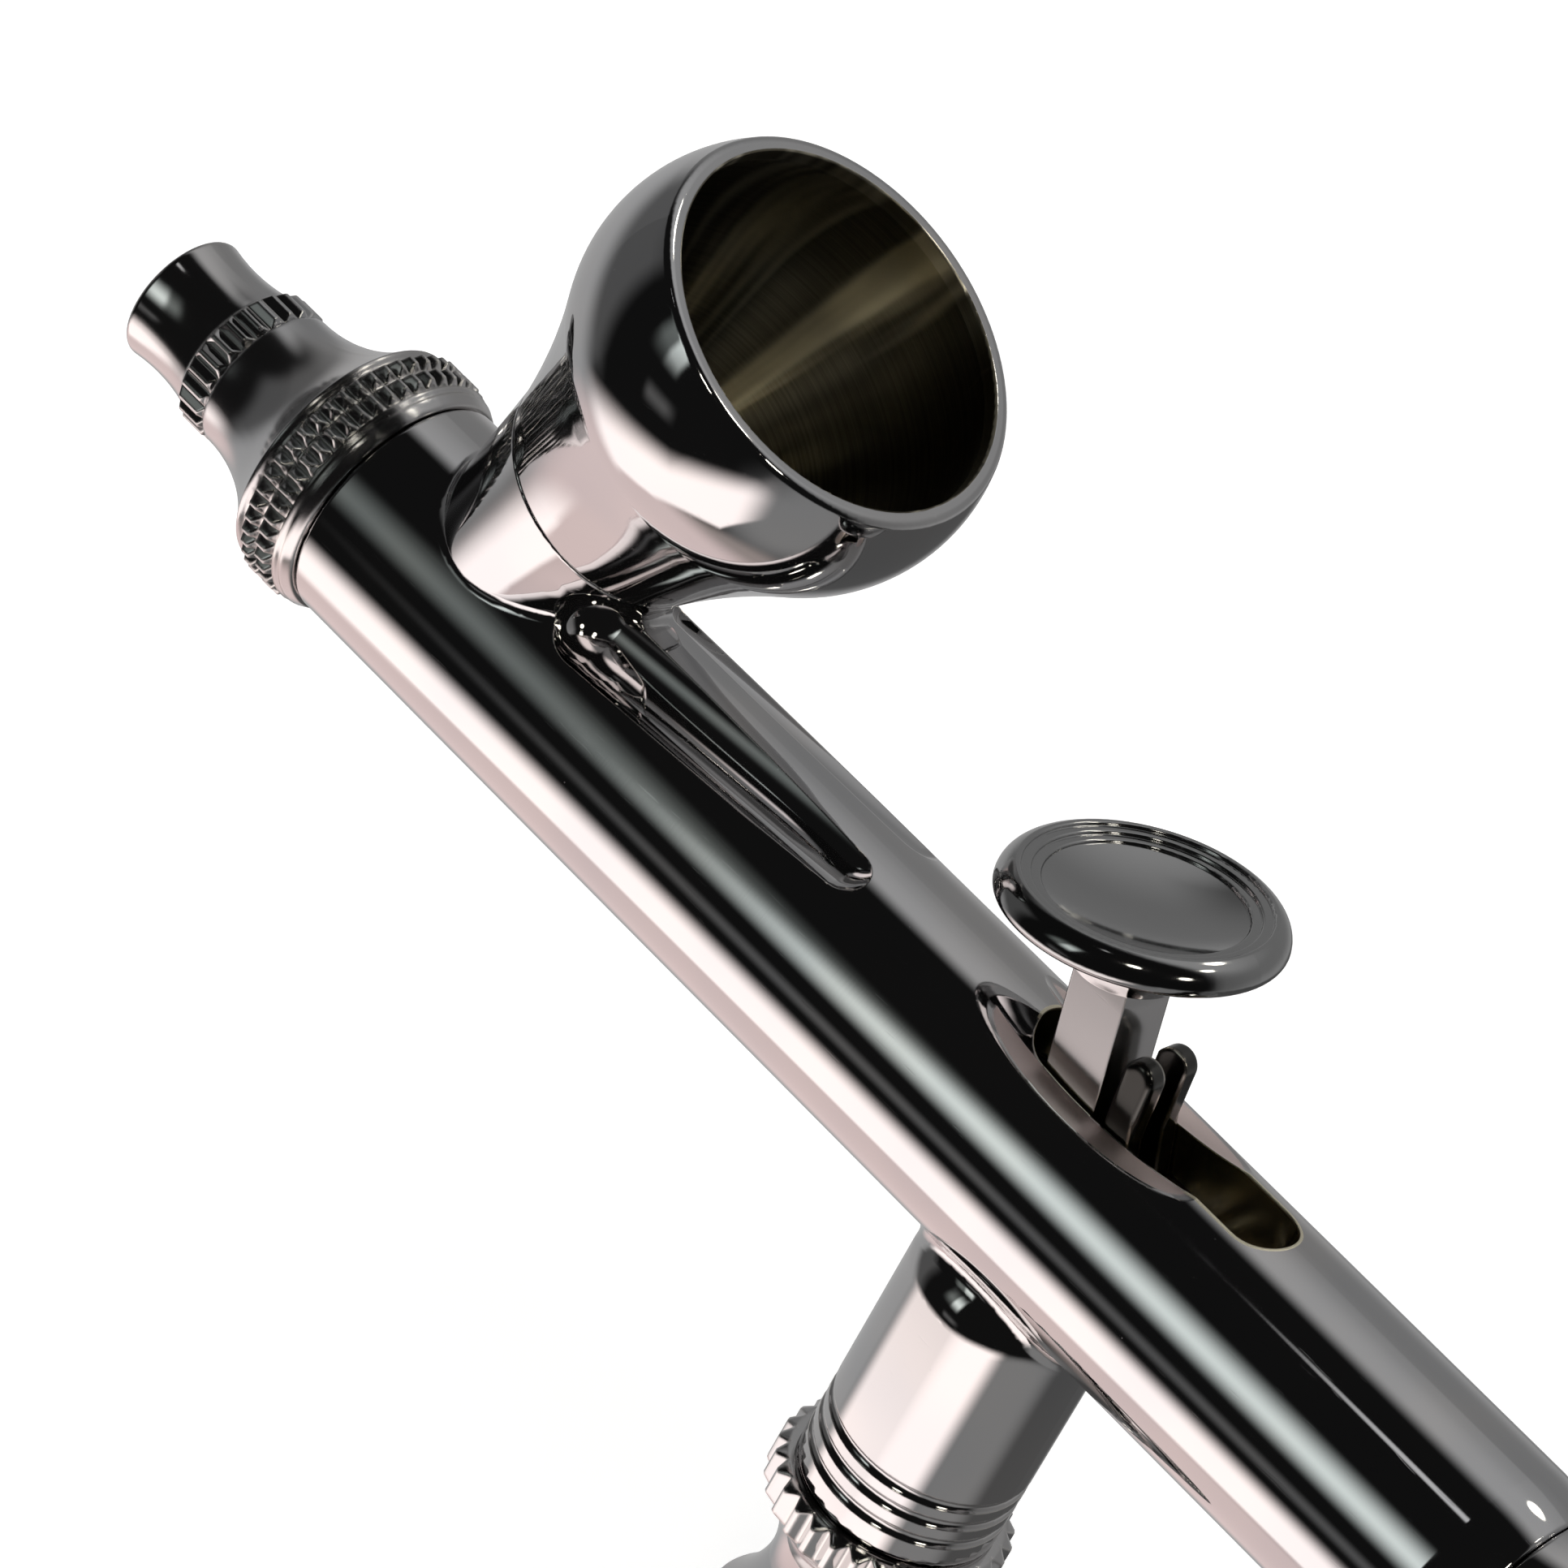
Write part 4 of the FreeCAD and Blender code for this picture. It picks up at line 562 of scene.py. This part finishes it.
def dress():
    """Gives each CAD node its material."""
    finishes = {
        polished_plating("barrel_plating", PLATE, patches=barrel_patches): ["body_shell"],
        polished_plating("handle_plating", PLATE): ["handle"],
        polished_plating("cup_plating", PLATE, CUP_FOOT, CUP_AXIS, inside=cup_hollow): ["paint_cup"],
        polished_plating("nozzle_cap_plating", PLATE, gloss=0.15, edge_radius=0.3, wear_and_glint=0.2): [
            "nozzle_cap"],
        polished_plating("needle_cap_plating", PLATE, gloss=0.085, edge_radius=0.2, wear_and_glint=0.2): [
            "needle_cap"],
        polished_plating("trigger_plating", PLATE, axis=(0, 0, 1), patches=trigger_patches): ["trigger"],
        # the lever: painted shade in its near-black tint, and strong pale edges that are partly wear, partly
        # painted highlight
        polished_plating("lever_plating", LEVER_SHADED_TINT, axis=(0, 0, 1), gloss=0.17,
                         edge_radius=0.3, wear_and_glint=0.8): ["aux_lever"],
        polished_plating("casing_plating", PLATE, axis=(0, 0, 1), edge_radius=0.3, wear_and_glint=0.2): ["valve_casing"],
        simple_metal("turned_fittings", STEEL_FITTING, 0.22): [
            "chuck_nut", "spring_case", "needle_guide", "nozzle"],
        simple_metal("turned_brass", BRASS, 0.20): ["packing_screw"],
        simple_metal("valve_brass", BRASS, 0.20, axis=(0, 0, 1)): [
            "valve_piston", "valve_plunger", "valve_guide_screw"],
        simple_metal("needle_steel", NEEDLE, 0.10): ["needle"],
        simple_metal("spring_steel", SPRING_WIRE, 0.28): ["needle_spring", "valve_spring"],
        moulded("white_seal", WHITE_SEAL, 0.45, 0.15): ["nozzle_seal", "needle_packing"],
        moulded("black_rubber", BLACK_RUBBER, 0.55, 0.3): [
            "casing_o_ring", "piston_packing", "plunger_seal"],
    }
    for material, names in finishes.items():
        for name in names:
            for slot in nodes[name].material_slots:
                slot.material = material


# ---------------------------------------------------------------- pieces

THREAD_TOP, THREAD_END = -30.6 * MM, -38.6 * MM
THREAD_RADIUS, THREAD_DEPTH, THREAD_PITCH = 4.864 * MM, 0.581 * MM, 0.907 * MM
THREAD_CHAMFER, THREAD_CHAMFER_RADIUS = -38.1 * MM, 4.25 * MM
THREAD_RUNOUT = 0.8 * MM
INLET_BORE = 2.2 * MM
AROUND = 96
THREAD_ROWS = 150


def new_object(name, vertices, faces, material):
    mesh = bpy.data.meshes.new(name)
    mesh.from_pydata(vertices, [], faces)
    mesh.materials.append(material)
    made = bpy.data.objects.new(name, mesh)
    bpy.context.scene.collection.objects.link(made)
    return made


def thread_radius(height, turn):
    """The cut thread's radius at a height and a direction: a rounded 55 degree vee that runs out."""
    phase = (height / THREAD_PITCH - turn / math.tau) % 1.0
    vee = min(max((1.0 - abs(2.0 * phase - 1.0) - 0.14) / 0.72, 0.0), 1.0)
    crest = vee * vee * (3.0 - 2.0 * vee) * 0.3 + vee * 0.7
    started = min(max((THREAD_TOP - height) / THREAD_RUNOUT, 0.0), 1.0)
    radius = THREAD_RADIUS - THREAD_DEPTH * (1.0 - crest) * started
    if height < THREAD_CHAMFER:
        share = (THREAD_CHAMFER - height) / (THREAD_CHAMFER - THREAD_END)
        radius = min(radius, THREAD_RADIUS + (THREAD_CHAMFER_RADIUS - THREAD_RADIUS) * share)
    return radius


def build_threaded_casing():
    """The valve casing as packed, with its hose thread cut: the plain foot gives way to a helix."""
    source = nodes["valve_casing"].data
    vertices, faces, smooth, normals = [], [], [], []
    kept = {}
    for face in source.polygons:
        corners = [source.vertices[number].co for number in face.vertices]
        on_foot = min(corner.z for corner in corners) < THREAD_TOP - 0.05 * MM
        if on_foot and max(math.hypot(corner.x, corner.y) for corner in corners) > INLET_BORE + 0.1 * MM:
            continue
        for number in face.vertices:
            if number not in kept:
                kept[number] = len(vertices)
                vertices.append(source.vertices[number].co.copy())
        faces.append([kept[number] for number in face.vertices])
        smooth.append(face.use_smooth)
        normals.extend(Vector(source.corner_normals[loop].vector) for loop in face.loop_indices)
    first = len(vertices)
    for row in range(THREAD_ROWS + 1):
        height = THREAD_TOP + (THREAD_END - THREAD_TOP) * row / THREAD_ROWS
        for step in range(AROUND):
            turn = math.tau * step / AROUND
            radius = thread_radius(height, turn)
            vertices.append(Vector((radius * math.cos(turn), radius * math.sin(turn), height)))
    for row in range(THREAD_ROWS):
        for step in range(AROUND):
            after = (step + 1) % AROUND
            upper, lower = first + row * AROUND, first + (row + 1) * AROUND
            faces.append([upper + step, lower + step, lower + after, upper + after])
            smooth.append(True)
    # the flat end, with vertices of its own so that its edge stays crisp
    ring = len(vertices)
    for inner in (False, True):
        for step in range(AROUND):
            turn = math.tau * step / AROUND
            radius = INLET_BORE if inner else thread_radius(THREAD_END, turn)
            vertices.append(Vector((radius * math.cos(turn), radius * math.sin(turn), THREAD_END)))
    for step in range(AROUND):
        after = (step + 1) % AROUND
        faces.append([ring + step, ring + AROUND + step, ring + AROUND + after, ring + after])
        smooth.append(False)
    casing = new_object("valve_casing_threaded", vertices, faces, bpy.data.materials["casing_plating"])
    mesh = casing.data
    mesh.polygons.foreach_set("use_smooth", smooth)
    # no normal of its own where the vector is zero: the new faces take theirs from their shape
    normals.extend([Vector((0, 0, 0))] * (len(mesh.loops) - len(normals)))
    mesh.normals_split_custom_set(normals)
    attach(casing, "body")
    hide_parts("valve_casing")
    return casing


COIL_SIDES = 10
COIL_STEPS = 28


def coil(name, centre, axis, across, radius, wire, turns, length):
    """A coil spring along an axis from its centre, without the closing turns at its ends."""
    upward = axis.cross(across)
    vertices, faces = [], []
    rings = turns * COIL_STEPS + 1
    for ring in range(rings):
        share = ring / (rings - 1)
        turn = math.tau * turns * share
        outward = across * math.cos(turn) + upward * math.sin(turn)
        middle = centre + axis * (length * share) + outward * radius
        for side in range(COIL_SIDES):
            around = math.tau * side / COIL_SIDES
            vertices.append(middle + (outward * math.cos(around) + axis * math.sin(around)) * wire)
    for ring in range(rings - 1):
        for side in range(COIL_SIDES):
            after = (side + 1) % COIL_SIDES
            near, far = ring * COIL_SIDES, (ring + 1) * COIL_SIDES
            faces.append([near + side, near + after, far + after, far + side])
    faces.append(list(range(COIL_SIDES))[::-1])
    faces.append([(rings - 1) * COIL_SIDES + side for side in range(COIL_SIDES)])
    made = new_object(name, vertices, faces, bpy.data.materials["spring_steel"])
    for face in made.data.polygons:
        face.use_smooth = len(face.vertices) == 4
    return made


# coil radius, wire radius, turns, and where the coil starts and how long it is
NEEDLE_SPRING = (2.35 * MM, 0.3 * MM, 15, 5.72 * MM, 31.36 * MM)
VALVE_SPRING = (1.45 * MM, 0.22 * MM, 7, -26.76 * MM, 7.12 * MM)


def build_springs():
    """Both springs as coils, built once at rest; the real springs shorten as their joints move, and in the CAD
    part they are rigid.
    """
    along, upright, level = Vector((1, 0, 0)), Vector((0, 0, 1)), Vector((0, 1, 0))
    radius, wire, turns, start, length = NEEDLE_SPRING
    needle = coil("needle_spring_coil", along * start, along, level, radius, wire, turns, length)
    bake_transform(needle)
    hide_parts("needle_spring")
    radius, wire, turns, start, length = VALVE_SPRING
    valve = coil("valve_spring_coil", upright * start, upright, along, radius, wire, turns, length)
    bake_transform(valve)
    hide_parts("valve_spring")


dress()
build_threaded_casing()
build_springs()
build_world()
build_softbox()
build_floor()
build_lights()
build_camera()
bpy.context.scene.view_settings.view_transform = "Standard"
